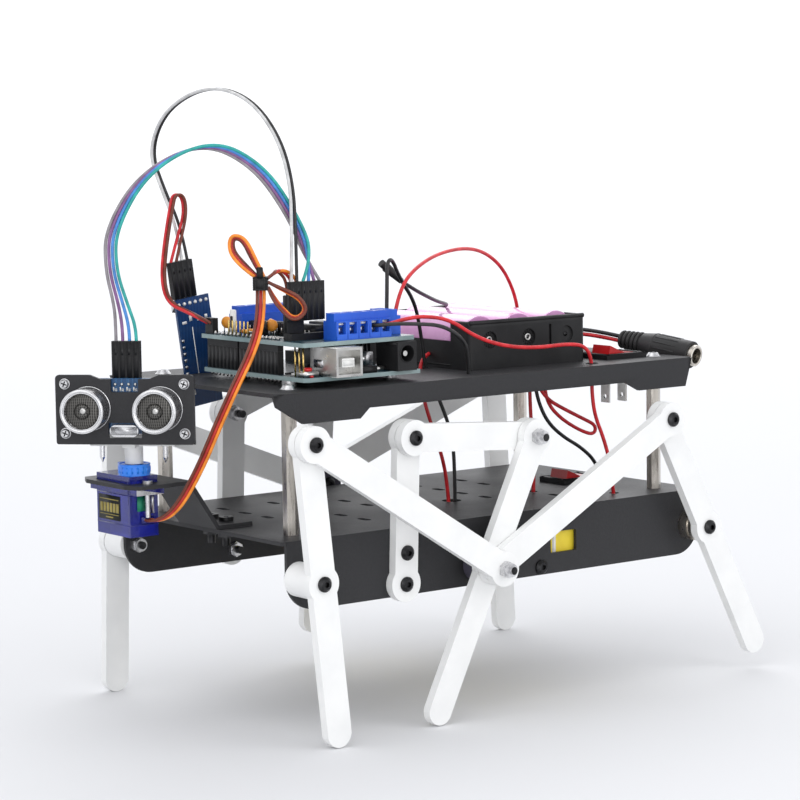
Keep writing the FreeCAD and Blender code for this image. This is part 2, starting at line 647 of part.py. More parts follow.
case = box("servo_case_block", (SERVO_X0, AXIS_Y - 6.1, EAR_Z - 18.5),
           ("servo_length", "servo_width", "servo_height"))
ears = box("servo_ears", (SERVO_X0 - 4.7, AXIS_Y - 6.0, EAR_Z - 2.5), (32.2, 12.0, 2.5))
ear_holes = [cylinder("ear_hole%d" % k, (x, AXIS_Y, EAR_Z - 4), "z", 1.1, 6)
             for k, x in enumerate((SERVO_X0 - 2.6, SERVO_X1 + 2.6))]
CASE_TOP = EAR_Z - 18.5 + size("servo_height")
turret = cylinder("servo_turret", (AXIS_X, AXIS_Y, CASE_TOP), "z", "turret_radius", 4.0)
idler = cylinder("servo_idler", (AXIS_X - 6.5, AXIS_Y, CASE_TOP), "z", 2.7, 4.0)
spline = cylinder("servo_spline", (AXIS_X, AXIS_Y, CASE_TOP + 4.0), "z", 2.3, 3.0)
servo_body = fuse("servo_body", case, ears, turret, idler, spline)
servo_screws = []
for k, x in enumerate((SERVO_X0 - 2.6, SERVO_X1 + 2.6)):
    head = cylinder("ear_head%d" % k, (x, AXIS_Y, EAR_Z + SHEET), "z", 1.9, 1.2)
    shank = cylinder("ear_shank%d" % k, (x, AXIS_Y, EAR_Z - 11.0), "z", 1.0, 11.0 + SHEET)
    servo_screws.append(fuse("ear_screw%d" % k, head, shank))
servo_cut = cut("servo_cut", servo_body, *ear_holes)
node(group("servo_set", servo_cut, *servo_screws), "servo_case")

# ---------------------------------------------------------------- turning sensor head
HEAD_TURN = 43.5                  # degrees to the robot's left
PLATE_Y = AXIS_Y - 10.5           # rear face of the upright plate, before the head is turned
PLATE_TOP, PLATE_LOW = 134.8, 109.4
HORN_Z = CASE_TOP + 4.2
EYE_Z = 122.4
PIVOT = (AXIS_X, AXIS_Y, 0.0)
horn_hub = cylinder("horn_hub", (AXIS_X, AXIS_Y, HORN_Z), "z", 3.4, PLATE_LOW - 1.9 - HORN_Z)
horn_arm = box("horn_arm", (AXIS_X - 16.0, AXIS_Y - 2.4, PLATE_LOW - 1.9), (32.0, 4.8, 1.7))
horn_cross = box("horn_cross", (AXIS_X - 2.4, AXIS_Y - 8.0, PLATE_LOW - 1.9), (4.8, 16.0, 1.7))
horn_bore = cylinder("horn_bore", (AXIS_X, AXIS_Y, HORN_Z - 1), "z", 2.35, 4.0)
horn_screws = [cylinder("horn_screw_hole%d" % k, (AXIS_X + x, AXIS_Y, PLATE_LOW - 3), "z", 1.0, 5.0)
               for k, x in enumerate((-12.0, 12.0))]
horn = cut("servo_horn_cut", fuse("servo_horn_solid", horn_hub, horn_arm, horn_cross), horn_bore,
           *horn_screws)
turned(horn, PIVOT, (0, 0, 1), HEAD_TURN)
node(horn, "servo_horn")

head_plate = new_body("sensor_bracket")
upright = sketch_on(head_plate, "upright_outline", "XZ_Plane", -PLATE_Y)
LEFT, RIGHT = AXIS_X - 26.0, AXIS_X + 26.0
add_outline(upright, [(LEFT, PLATE_LOW - 0.2), (RIGHT - 1.0, PLATE_LOW - 0.2), (RIGHT, PLATE_LOW + 1.2),
                      (RIGHT, PLATE_TOP), (RIGHT - 13.0, PLATE_TOP), (RIGHT - 17.0, PLATE_TOP - 1.6),
                      (LEFT + 17.0, PLATE_TOP - 1.6), (LEFT + 13.0, PLATE_TOP), (LEFT, PLATE_TOP)],
            [1, 0, 0, 1.5, 1.5, 2, 2, 1.5, 1.5])
pad(head_plate, upright, "upright", "sheet_gauge")
shelf = sketch_on(head_plate, "shelf_outline", "XY_Plane", PLATE_LOW - 0.2)
add_outline(shelf, [(LEFT, PLATE_Y + 0.2), (LEFT, PLATE_Y - 0.4), (RIGHT, PLATE_Y - 0.4), (RIGHT, PLATE_Y + 0.2),
                    (RIGHT - 8, AXIS_Y + 7.5), (LEFT + 8, AXIS_Y + 7.5)], [0, 0, 0, 0, 4, 4])
pad(head_plate, shelf, "shelf", "sheet_gauge")
windows = sketch_on(head_plate, "eye_windows", "XZ_Plane", -PLATE_Y)
for x in (-13.5, 13.5):
    add_circle(windows, (AXIS_X + x, EYE_Z), 8.3)
add_outline(windows, rectangle(AXIS_X - 6.3, AXIS_X + 6.3, 111.6, 117.2), 0.5)
add_outline(windows, rectangle(AXIS_X - 5.2, AXIS_X + 5.2, 128.4, 136.0), 0.5)
for x in (-22.4, 22.4):
    for z in (-9.1, 9.1):
        add_circle(windows, (AXIS_X + x, EYE_Z + z), 1.0)
pocket(head_plate, windows, "eye_cut", 8)
foot_holes = sketch_on(head_plate, "shelf_drill", "XY_Plane", PLATE_LOW)
for x in (-12.0, 12.0):
    add_circle(foot_holes, (AXIS_X + x, AXIS_Y), 1.05)
pocket(head_plate, foot_holes, "shelf_holes", 8)
turned(head_plate, PIVOT, (0, 0, 1), HEAD_TURN)
node(head_plate, "sensor_bracket")

board = box("sonar_pcb", (AXIS_X - 22.7, PLATE_Y + 0.1, EYE_Z - 9.4), (45.4, "board_gauge", 20.4))
pin_row = [box("sonar_pin%d" % k, (AXIS_X - 3.81 - 0.32 + 2.54 * k, PLATE_Y + 1.7, EYE_Z + 6.6), (0.64, 1.4, 3.0))
           for k in range(4)]
crystal = fuse("crystal_can",
               box("crystal_mid", (AXIS_X - 3.2, PLATE_Y - 3.4, 112.25), (6.4, 3.5, 4.3)),
               cylinder("crystal_end0", (AXIS_X - 3.2, PLATE_Y + 0.1, 114.4), "-y", 2.15, 3.5),
               cylinder("crystal_end1", (AXIS_X + 3.2, PLATE_Y + 0.1, 114.4), "-y", 2.15, 3.5))
node(turned(group("sensor_board_set", board, *pin_row), PIVOT, (0, 0, 1), HEAD_TURN), "sensor_board")

eyes = []
for tag, x in (("a", -13.5), ("b", 13.5)):
    can = cylinder("sonar_can_" + tag, (AXIS_X + x, PLATE_Y + 0.1, EYE_Z), "-y", "transducer_radius", 12.0)
    mouth = cylinder("sonar_mouth_" + tag, (AXIS_X + x, PLATE_Y - 10.4, EYE_Z), "-y", 6.6, 3.0)
    floor = cylinder("sonar_disc_" + tag, (AXIS_X + x, PLATE_Y - 9.0, EYE_Z), "-y", 6.6, 2.0)
    eyes.append(cut("sonar_" + tag, can, mouth))
head_screws = []
for x in (-22.4, 22.4):
    for z in (-9.1, 9.1):
        tag = "%d_%d" % (x > 0, z > 0)
        place = (AXIS_X + x, PLATE_Y - 1.5, EYE_Z + z)
        head_screws.append(fuse("head_screw_" + tag,
                                cone("head_cap_" + tag, place, "-y", 1.9, 1.3, 1.2),
                                cylinder("head_shank_" + tag, place, "y", 0.95, 1.55)))
for x in (-12.0, 12.0):
    place = (AXIS_X + x, AXIS_Y, PLATE_LOW + 1.3)
    tag = "shelf_%d" % (x > 0)
    head_screws.append(fuse("head_screw_" + tag,
                            cone("head_cap_" + tag, place, "z", 1.9, 1.3, 1.2),
                            cylinder("head_shank_" + tag, place, "-z", 1.0, 7.6),
                            cone("head_tip_" + tag, place[:2] + (place[2] - 7.6,), "-z", 1.0, 0.15, 2.0)))
node(turned(group("transducer_set", crystal, *(eyes + head_screws)), PIVOT, (0, 0, 1), HEAD_TURN),
     "sensor_transducers")
PLUG_TOP = 146.9
plug = box("sonar_plug_block", (AXIS_X - 5.3, PLATE_Y + 1.75, EYE_Z + 9.8), (10.6, 2.6, PLUG_TOP - EYE_Z - 9.8))
node(turned(plug, PIVOT, (0, 0, 1), HEAD_TURN), "sensor_plug")

# ---------------------------------------------------------------- controller board and shield
BOARD_X1 = 48.5
BOARD_X0 = BOARD_X1 - size("board_length")
BOARD_Y0 = -87.7
BOARD_Z = 130.8
board_outline = [(BOARD_X0 + 2.5, BOARD_Y0), (BOARD_X1 - 1.5, BOARD_Y0), (BOARD_X1, BOARD_Y0 + 1.5),
                 (BOARD_X1, BOARD_Y0 + size("board_width")), (BOARD_X0 + 2.5, BOARD_Y0 + size("board_width")),
                 (BOARD_X0, BOARD_Y0 + size("board_width") - 2.5), (BOARD_X0, BOARD_Y0 + 2.5)]
hole_spots = [((BOARD_X1 - 14.0, BOARD_Y0 + 2.5), 1.6), ((BOARD_X1 - 15.3, BOARD_Y0 + 50.7), 1.6),
              ((BOARD_X0 + 2.6, BOARD_Y0 + 17.8), 1.6), ((BOARD_X0 + 2.6, BOARD_Y0 + 45.7), 1.6)]
controller = plate("controller_board", "XY_Plane", board_outline, 0.0, BOARD_Z, "board_gauge", hole_spots)
feet = []
for number, spot in enumerate(hole_spots):
    foot = cylinder("board_foot%d" % number, spot[0] + (UP_TOP,), "z", 1.5, BOARD_Z - UP_TOP + 1.7)
    washer = cylinder("board_washer%d" % number, spot[0] + (UP_TOP,), "z", 2.6, BOARD_Z - UP_TOP)
    feet.append(fuse("board_stud%d" % number, foot, washer))
controller.Label = "controller_plate"
node(group("controller_set", controller, *feet), "controller_board")
TOP = BOARD_Z + size("board_gauge")
SHIELD_Z = TOP + 11.2
headers = []
for name, x_start, count, y in (("front_a", 18.8, 10, 2.5), ("front_b", 45.2, 8, 2.5),
                                ("rear_a", 26.0, 8, 50.8), ("rear_b", 50.3, 6, 50.8)):
    length = count * 2.54
    x_low = BOARD_X1 - x_start - length
    headers.append(box("header_" + name, (x_low, BOARD_Y0 + y - 1.25, TOP), (length, 2.5, 8.6)))
    headers.append(box("spacer_" + name, (x_low, BOARD_Y0 + y - 1.25, TOP + 8.65), (length, 2.5, 2.5)))
chip = box("controller_chip", (BOARD_X1 - 64.0, BOARD_Y0 + 36.5, TOP), (35.5, 7.0, 4.2))
node(group("header_set", chip, *headers), "controller_headers")
usb = cut("usb_shell", box("usb_block", (BOARD_X1 - 10.0, BOARD_Y0 + 9.6, TOP), (16.2, 12.0, 10.8)),
          box("usb_mouth", (BOARD_X1 + 1.0, BOARD_Y0 + 10.6, TOP + 1.0), (10.0, 10.0, 8.8)))
tongue = box("usb_tongue", (BOARD_X1 + 0.0, BOARD_Y0 + 12.8, TOP + 3.6), (5.4, 5.6, 3.2))
node(fuse("usb_socket_solid", usb, tongue), "usb_socket")
jack = cut("jack_shell", box("jack_block", (BOARD_X1 - 11.0, BOARD_Y0 + 41.0, TOP), (13.2, 9.0, 10.8)),
           cylinder("jack_mouth", (BOARD_X1 - 6.0, BOARD_Y0 + 45.5, TOP + 6.4), "x", 3.2, 12.0))
jack_pin = cylinder("jack_pin", (BOARD_X1 - 6.5, BOARD_Y0 + 45.5, TOP + 6.4), "x", 1.0, 7.5)
node(fuse("power_socket_solid", jack, jack_pin), "power_socket")

shield_top = SHIELD_Z + size("board_gauge")
shield_outline = [(BOARD_X0, BOARD_Y0), (BOARD_X1 - 0.6, BOARD_Y0), (BOARD_X1 - 0.6, BOARD_Y0 + size("shield_width")),
                  (BOARD_X0, BOARD_Y0 + size("shield_width"))]
node(plate("shield_board", "XY_Plane", shield_outline, 1.5, SHIELD_Z, "board_gauge"), "shield_board")


def terminal(name, x_face, y_start, ways, out):
    """A screw terminal block along Y whose wire mouths face out = +1 or -1 in X."""
    pitch, deep, tall = 5.08, 8.2, 10.0
    x_low = x_face - deep if out > 0 else x_face
    block = box(name + "_block", (x_low, y_start, shield_top), (deep, pitch * ways, tall - 3.0))
    ridge = box(name + "_ridge", (x_low + 1.6, y_start, shield_top + tall - 3.0), (deep - 3.2, pitch * ways, 3.0))
    mouths = []
    for k in range(ways):
        x_cut = x_face - 2.5 if out > 0 else x_face - 1.5
        mouths.append(box("%s_mouth%d" % (name, k), (x_cut, y_start + pitch * k + 0.9, shield_top + 2.2), (4.0, 3.3, 4.4)))
        mouths.append(cylinder("%s_well%d" % (name, k), (x_low + deep / 2, y_start + pitch * (k + 0.5), shield_top + tall - 2.0),
                               "z", 1.9, 4.0))
    return cut(name, fuse(name + "_solid", block, ridge), *mouths)


near_block = terminal("terminal_left", BOARD_X1 - 1.4, BOARD_Y0 + 15.6, 5, 1)
far_block = terminal("terminal_right", BOARD_X0 + 1.2, BOARD_Y0 + 13.0, 5, -1)
power_block = cut("power_block_cut",
                  fuse("power_block_solid",
                       box("power_block", (28.5, -44.2, shield_top), (10.2, 8.3, 7.0)),
                       box("power_ridge", (28.5, -42.6, shield_top + 7.0), (10.2, 5.2, 2.4))),
                  *[cylinder("power_well%d" % k, (31.05 + 5.1 * k, -40.0, shield_top + 8.0), "z", 1.9, 4.0)
                    for k in (0, 1)])
node(group("terminal_set", near_block, far_block, power_block), "terminal_blocks")
chips = []
for name, x, y, long_side in (("driver_a", BOARD_X1 - 36.8, BOARD_Y0 + 15.2, 19.5),
                              ("driver_b", BOARD_X1 - 36.8, BOARD_Y0 + 28.6, 19.5),
                              ("register", BOARD_X1 - 57.6, BOARD_Y0 + 15.2, 19.5)):
    chips.append(box("chip_" + name, (x, y, shield_top + 1.2), (long_side, 6.4, 3.4)))
    chips.append(box("chip_base_" + name, (x, y - 0.6, shield_top), (long_side, 7.6, 1.15)))
node(group("chip_set", *chips), "driver_chips")

# jumper plugs on the shield: a block near its front edge, and the six-way plug of the radio board
PLUG_X, PLUG_Z = 33.0, 167.0
plugs = [box("plug_base", (PLUG_X, -84.3, shield_top), (2.5, 15.4, 2.55)),
         box("plug_two_way", (PLUG_X, -84.3, PLUG_Z - 14.4), (2.5, 5.0, 14.4)),
         box("plug_four_way", (PLUG_X, -79.1, PLUG_Z - 14.4), (2.5, 10.2, 14.4)),
         box("plug_servo_base", (PLUG_X - 2.6, -84.3, shield_top), (2.5, 7.6, 2.55)),
         box("plug_servo", (PLUG_X - 2.6, -84.3, shield_top + 2.6), (2.5, 7.6, 14.0)),
         box("plug_front", (-19.0, -86.0, shield_top), (5.1, 2.5, 6.0))]

# ---------------------------------------------------------------- radio board, standing in a slot
RADIO_X = -34.9
RADIO_Y0 = -85.4
radio = new_body("bluetooth_board")
card = sketch_on(radio, "radio_outline", "YZ_Plane", RADIO_X - 0.6)
add_outline(card, [(RADIO_Y0, 116.0), (RADIO_Y0 + 15.6, 116.0), (RADIO_Y0 + 15.6, 158.5), (RADIO_Y0, 158.5)], 0.0)
pad(radio, card, "radio_card", 1.2)
radio.Label = "radio_plate"
module = box("radio_module", (RADIO_X - 2.9, RADIO_Y0 + 1.6, 134.0), (2.2, 12.4, 14.0))
radio_plug = box("radio_plug", (RADIO_X - 2.9, RADIO_Y0 + 0.6, 158.6), (2.6, 10.3, 14.4))
radio_header = box("radio_header", (RADIO_X - 3.2, RADIO_Y0 + 0.2, 153.6), (2.55, 15.2, 2.5))
radio_pins = [box("radio_pin%d" % k, (RADIO_X - 1.9, RADIO_Y0 + 1.15 + 2.54 * k, 156.1), (0.6, 0.6, 2.5))
              for k in range(4)]
RADIO_LEAN = 8.0
RADIO_FOOT = (0.0, -77.6, 128.3)
node(turned(group("radio_set", radio, module, fuse("radio_header_solid", radio_header, *radio_pins)),
            RADIO_FOOT, (1, 0, 0), RADIO_LEAN), "bluetooth_board")
plugs.append(turned(radio_plug, RADIO_FOOT, (1, 0, 0), RADIO_LEAN))

# ---------------------------------------------------------------- battery holder and cells
HOLD_X1 = 37.0
HOLD_X0 = HOLD_X1 - size("holder_length")
HOLD_Y0 = -0.8
holder_block = box("holder_block", (HOLD_X0, HOLD_Y0, UP_TOP), ("holder_length", "holder_width", "holder_height"))
doc.recompute()
tray = add("Part::Fillet", "holder_rounded")
tray.Base = holder_block
rounded_edges = []
for number, edge in enumerate(holder_block.Shape.Edges, 1):
    ends = [v.Point for v in edge.Vertexes]
    if abs(ends[0].z - ends[1].z) > 1 or (abs(ends[0].y - ends[1].y) > 1 and ends[0].z > UP_TOP + 1):
        rounded_edges.append((number, 2.4, 2.4))
    elif ends[0].z > UP_TOP + 1:
        rounded_edges.append((number, 0.8, 0.8))
tray.Edges = rounded_edges
troughs = [box("holder_hollow", (HOLD_X0 + 3.0, HOLD_Y0 + 0.9, UP_TOP + 2.0),
               (71.0, size("holder_width") - 1.8, 30.0))]
saddle = box("holder_scoop", (HOLD_X0 + 12.0, HOLD_Y0 - 1, UP_TOP + 11.0), (53.0, size("holder_width") + 2, 30.0))
end_marks = [cylinder("holder_rivet%d" % k, (HOLD_X1 - 0.8, HOLD_Y0 + 10.1 + 19.7 * k, UP_TOP + 11.5), "x", 3.4, 2.0)
             for k in range(3)]
slit = box("holder_slit", (HOLD_X1 - 1.0, HOLD_Y0 + 40.4, UP_TOP + 7.0), (2.0, 1.2, 9.0))
node(cut("battery_holder_cut", tray, saddle, slit, *(troughs + end_marks)), "battery_holder")
cells = []
for k in range(3):
    y = HOLD_Y0 + 10.1 + 19.7 * k
    z = UP_TOP + 2.2 + size("cell_radius")
    can = cylinder("cell_can%d" % k, (HOLD_X0 + 5.4, y, z), "x", "cell_radius", 65.0)
    tip = cylinder("cell_tip%d" % k, (HOLD_X0 + 70.4, y, z), "x", 2.8, 1.2)
    cells.append(fuse("cell%d" % k, can, tip))
node(group("cell_set", *cells), "battery_cells")

# ---------------------------------------------------------------- rocker switches
def rocker_switch(tag, centre, deck_top, long_axis):
    """Housing with bezel and spade terminals, and the rocker on its own pivot."""
    cx, cy = centre
    length, width = 19.0, 13.4
    sx, sy = (length, width) if long_axis == "x" else (width, length)
    bezel = box(tag + "_bezel", (cx - sx / 2 - 1.2, cy - sy / 2 - 1.2, deck_top), (sx + 2.4, sy + 2.4, 1.9))
    shell = box(tag + "_shell", (cx - sx / 2, cy - sy / 2, deck_top - 9.5), (sx, sy, 11.0))
    well = box(tag + "_well", (cx - sx / 2 + 1.3, cy - sy / 2 + 1.3, deck_top - 5.6), (sx - 2.6, sy - 2.6, 10.0))
    hold = cut(tag + "_hold", fuse(tag + "_case", bezel, shell), well)
    spades = []
    for k in (-1, 1):
        if long_axis == "x":
            low = (cx + k * 4.5 - 0.4, cy - 2.4, deck_top - 18.0)
            blade = box("%s_spade%d" % (tag, k), low, (0.8, 4.8, 8.5))
            eye = cylinder("%s_spade_eye%d" % (tag, k), (low[0] - 1, cy, deck_top - 15.4), "x", 0.9, 3)
        else:
            low = (cx - 2.4, cy + k * 4.5 - 0.4, deck_top - 18.0)
            blade = box("%s_spade%d" % (tag, k), low, (4.8, 0.8, 8.5))
            eye = cylinder("%s_spade_eye%d" % (tag, k), (cx, low[1] - 1, deck_top - 15.4), "y", 0.9, 3)
        spades.append(cut("%s_spade_cut%d" % (tag, k), blade, eye))
    node(group(tag + "_housing_set", hold, *spades), tag + "_housing")
    # the rocker: a shallow V seen along its pivot
    half = length / 2 - 1.55
    role = "XZ_Plane" if long_axis == "x" else "YZ_Plane"
    body = new_body(tag)
    if long_axis == "x":
        start, mid = -(cy + width / 2 - 1.55), cx
    else:
        start, mid = cx - width / 2 + 1.55, cy
    face = sketch_on(body, tag + "_profile", role, start)
    base = deck_top - 2.6
    add_outline(face, [(mid - half, base + 1.2), (mid - 2.0, base), (mid + 2.0, base), (mid + half, base + 1.2),
                       (mid + half - 0.9, deck_top + 2.0), (mid + 1.0, deck_top + 2.2), (mid - half + 1.6, deck_top + 5.4)],
                [0, 0, 0, 0, 0, 6.0, 0])
    pad(body, face, tag + "_pad", width - 3.1)
    node(body, tag)


UPPER_SWITCH = (33.5, 77.0)
LOWER_SWITCH = (3.0, 80.5)
rocker_switch("upper_switch", UPPER_SWITCH, UP_TOP, "y")
rocker_switch("lower_switch", LOWER_SWITCH, LOW_TOP, "y")

# ---------------------------------------------------------------- output socket behind the holder
JACK_START, JACK_END = V(12.0, 101.0, 133.0), V(45.1, 109.4, 127.8)
jack_way = (JACK_END - JACK_START).normalize()
jack_turn = FreeCAD.Rotation(V(0, 0, 1), jack_way)


def along_jack(name, start, radius1, radius2, length):
    base = JACK_START + jack_way * start
    return cone(name, tuple(base), jack_turn, radius1, radius2, length)


ribs = [cylinder("jack_rib%d" % k, tuple(JACK_START + jack_way * (0.3 + 2.1 * k)), jack_turn, 3.55 + 0.22 * k, 1.3)
        for k in range(5)]
sleeve = fuse("dc_jack_sleeve", along_jack("jack_relief", 0.0, 2.9, 4.1, 11.0),
              along_jack("jack_neck", 11.0, 4.6, 5.6, 6.0),
              cylinder("jack_grip", tuple(JACK_START + jack_way * 17.0), jack_turn, 5.6, 17.5), *ribs)
jack_bore = cylinder("dc_jack_bore", tuple(JACK_START + jack_way * 24.0), jack_turn, 3.2, 14.0)
collar = cut("dc_jack_collar",
             cylinder("jack_ring", tuple(JACK_START + jack_way * 34.5), jack_turn, 4.4, 2.2),
             cylinder("jack_ring_bore", tuple(JACK_START + jack_way * 33.0), jack_turn, 3.2, 6.0))
contact = cylinder("dc_jack_pin", tuple(JACK_START + jack_way * 24.0), jack_turn, 0.9, 9.5)
node(group("dc_jack_set", cut("dc_jack_body", sleeve, jack_bore), collar, contact), "dc_jack")

# loose end of the battery lead: a small sleeved contact
SPLICE_TIP, SPLICE_END = V(16.0, -26.4, 170.0), V(16.0, -17.7, 163.3)
splice_way = (SPLICE_END - SPLICE_TIP).normalize()
splice_turn = FreeCAD.Rotation(V(0, 0, 1), splice_way)
splice = fuse("dc_plug_solid",
          cylinder("splice_tip", tuple(SPLICE_TIP - splice_way * 1.2), splice_turn, 1.5, 3.0),
          cone("splice_body", tuple(SPLICE_TIP + splice_way * 1.8), splice_turn, 1.9, 1.2,
               (SPLICE_END - SPLICE_TIP).Length - 1.8))

# cable tie round the folded servo lead
TIE = V(32.3, -95.5, 167.0)
VIEW = 52.3


def tied(right, up, depth=0.0):
    """A point near the tie: across, up and behind it, square to its strap."""
    swing = turn((0, 0, 1), VIEW)
    return TIE + swing.multVec(V(right, depth, up))


strap = box("tie_strap", (TIE.x - 2.7, TIE.y - 2.9, TIE.z - 2.5), (5.4, 5.8, 5.0))
lock = box("tie_lock", (TIE.x - 1.8, TIE.y - 5.2, TIE.z - 2.0), (3.6, 2.3, 4.0))
tail = box("tie_tail_end", (TIE.x - 1.2, TIE.y - 4.6, TIE.z + 2.0), (2.4, 1.0, 3.2))
tie_block = turned(fuse("tie_solid", strap, lock, tail), tuple(TIE), (0, 0, 1), VIEW)

# ---------------------------------------------------------------- wires
WIRE = size("wire_radius")
THIN = 0.62


def cord(name, points, radius):
    """A round wire along straight runs joined by tangent arcs."""
    points = [V(*p) if isinstance(p, tuple) else V(p) for p in points]
    runs = [(points[i + 1] - points[i]).Length for i in range(len(points) - 1)]
    edges, last, length, radii = [], points[0], 0.0, []
    for i in range(1, len(points) - 1):
        back = (points[i - 1] - points[i]).normalize()
        ahead = (points[i + 1] - points[i]).normalize()
        bend = math.pi - back.getAngle(ahead)
        reach = 0.45 * min(runs[i - 1], runs[i])
        arc_radius = reach / math.tan(bend / 2)
        radii.append(round(arc_radius / (2 * radius), 1))
        first, end = points[i] + back * reach, points[i] + ahead * reach
        inward = (back + ahead).normalize()
        centre = points[i] + inward * (arc_radius / math.cos(bend / 2))
        middle = centre - inward * arc_radius
        edges.append(Part.LineSegment(last, first).toShape())
        edges.append(Part.Arc(first, middle, end).toShape())
        length += (first - last).Length + arc_radius * bend
        last = end
    edges.append(Part.LineSegment(last, points[-1]).toShape())
    length += (points[-1] - last).Length
    path = Part.Wire(edges)
    ring = Part.Wire(Part.makeCircle(radius, points[0], (points[1] - points[0]).normalize()))
    tube = path.makePipeShell([ring], True, False)
    piece = add("Part::Feature", name)
    piece.Shape = tube
    expected = math.pi * radius ** 2 * length
    print("%-14s %6.1f mm, least bend %.1f diameters, most run %.0f, volume %.3f"
          % (name, length, min(radii), max(runs), tube.Volume / expected))
    return piece


def carve(name, piece, wires):
    """The piece with the room that its wires take cut out of it."""
    room = []
    for k, wire in enumerate(wires):
        room.append(add("Part::Feature", "%s_room%d" % (name, k)))
        room[-1].Shape = wire.Shape
    return cut(name, piece, *room)


def bundle(name, points, spreads, count, radius):
    """Several wires side by side; spreads gives the step from one to the next at each point."""
    wires = []
    for k in range(count):
        shift = k - (count - 1) / 2.0
        line = [V(*point) + V(*spread) * shift for point, spread in zip(points, spreads)]
        wires.append(cord("%s_%d" % (name, k + 1), line, radius))
    return wires


head_across = turn((0, 0, 1), HEAD_TURN).multVec(V(1, 0, 0))
ribbon_start = turn((0, 0, 1), HEAD_TURN).multVec(V(0, PLATE_Y + 3.05 - AXIS_Y, 0)) + V(AXIS_X, AXIS_Y, PLUG_TOP)
RIBBON = [tuple(ribbon_start), tuple(ribbon_start + V(0, 0, 5.0)), (4.3, -138.2, 160.0), (2.6, -141.2, 173.0), (2.5, -140.8, 188.0),
          (8.2, -129.1, 208.7), (18.2, -108.3, 219.6), (26.2, -91.2, 210.0), (31.6, -79.8, 191.0),
          (34.0, -75.0, 177.0), (PLUG_X + 1.25, -74.0, PLUG_Z)]
near = head_across * 1.35
ribbon_steps = ([tuple(head_across * 2.54)] * 2 + [tuple(head_across * 1.7)] + [tuple(near)] * 2
                + [tuple(near + V(0, 0, 0.4))] * 2
                + [(0.7, 1.15, 0.2), (0.4, 1.3, 0), (1.9, 0.2, 0), (0, -2.54, 0)])
node(group("sensor_wire_set", *bundle("ribbon", RIBBON, ribbon_steps, 4, THIN)), "sensor_wires")

radio_up = turn((1, 0, 0), RADIO_LEAN)
radio_top = radio_up.multVec(V(RADIO_X - 1.6, RADIO_Y0 + 7.3, 173.0) - V(*RADIO_FOOT)) + V(*RADIO_FOOT)
radio_across = radio_up.multVec(V(0, 1, 0))
plug_start = radio_top + radio_across * 0.95
LOOP = [tuple(plug_start), (-39.4, -83.6, 185.0), (-48.0, -84.9, 199.5), (-55.0, -86.2, 214.0),
        (-46.6, -85.2, 229.0), (-28.0, -83.5, 237.5), (-8.0, -82.3, 238.8), (11.0, -81.2, 232.5),
        (25.5, -80.4, 218.5), (32.4, -80.6, 202.0), (34.0, -81.4, 185.5), (PLUG_X + 1.25, -81.8, PLUG_Z)]
loop_steps = [tuple(radio_across * 2.54), (0, 2.0, 0)] + [(0, 1.35, 0)] * 8 + [(0, 1.8, 0), (0, 2.54, 0)]
loop_wires = bundle("loop", LOOP, loop_steps, 2, THIN)
fold_start = radio_top - radio_across * 4.15
FOLD = [tuple(fold_start), (-36.8, -85.6, 180.5), (-37.1, -82.6, 188.6), (-37.2, -82.2, 194.2), (-37.3, -83.6, 197.9),
        (-37.4, -86.9, 197.9), (-37.5, -88.0, 193.8), (-37.6, -89.6, 186.6), (-37.8, -91.2, 178.0),
        (-37.8, -92.6, 167.9), (-36.8, -92.4, 160.2), (-33.5, -91.2, 155.6), (-27.0, -89.6, 153.6),
        (-20.6, -88.8, 151.8), (-16.45, -85.7, 149.2)]
fold_steps = ([tuple(radio_across * 2.54), (0.3, 1.8, 0)] + [(1.25, 0.5, 0)] * 9
              + [(0.9, 0.9, 0), (0.6, 1.2, 0), (1.3, 0.7, 0), (2.3, 0, 0)])
fold_wires = bundle("fold", FOLD, fold_steps, 2, THIN)
node(group("bluetooth_wire_set", *(loop_wires + fold_wires)), "bluetooth_wires")

SERVO_EXIT = (SERVO_X1, -130.6, 80.4)
LEAD = [SERVO_EXIT, (11.0, -129.9, 79.6), (17.0, -124.5, 84.0), (24.0, -118.6, 99.5), (30.0, -114.9, 114.5),
        (34.0, -109.3, 129.3), (35.5, -101.7, 143.0), (34.8, -97.2, 155.0), tuple(tied(0, -2.5))]
across = turn((0, 0, 1), VIEW).multVec(V(1.27, 0, 0))
lead_steps = [(0, 1.27, 0), (0.3, 1.2, 0)] + [tuple(across)] * 7
lead_wires = bundle("lead", LEAD, lead_steps, 3, THIN)
BEHIND = turn((0, 0, 1), VIEW).multVec(V(0, 1.3, 0))
TIE_LOOP = [tied(-1.6, 2.5), tied(-6.5, 6.8), tied(-10.6, 12.0), tied(-10.2, 17.4), tied(-5.8, 16.4),
            tied(-2.4, 9.0), tied(0.9, 2.5)]
TIE_DROP = [tied(2.7, 0.4), tied(8.6, -2.6), tied(14.4, -5.6), tied(16.8, -10.4), tied(12.2, -13.9),
            tied(7.6, -9.6), tied(4.4, -5.2), tied(2.7, -1.4)]
loop_steps = [tied(*step) - TIE for step in ((0.5, 0, 1.17), (0.6, 0.6, 0.95), (0.85, 0.1, 0.95), (0.5, -0.7, 0.95),
                                             (-0.5, -0.7, 0.95), (-0.8, -0.3, 0.95), (-0.5, 0, 1.17))]
drop_steps = [tied(*step) - TIE for step in ((0, 0, 1.25), (-0.2, -0.4, 1.2), (-0.25, -0.35, 1.2), (-0.45, 0, 1.2),
                                             (0, 0.45, 1.2), (0.3, 0.3, 1.2), (0.3, 0.15, 1.2), (0, 0, 1.25))]
lead_wires += bundle("tie_loop", TIE_LOOP, loop_steps, 3, THIN)
lead_wires += bundle("tie_drop", TIE_DROP, drop_steps, 3, THIN)
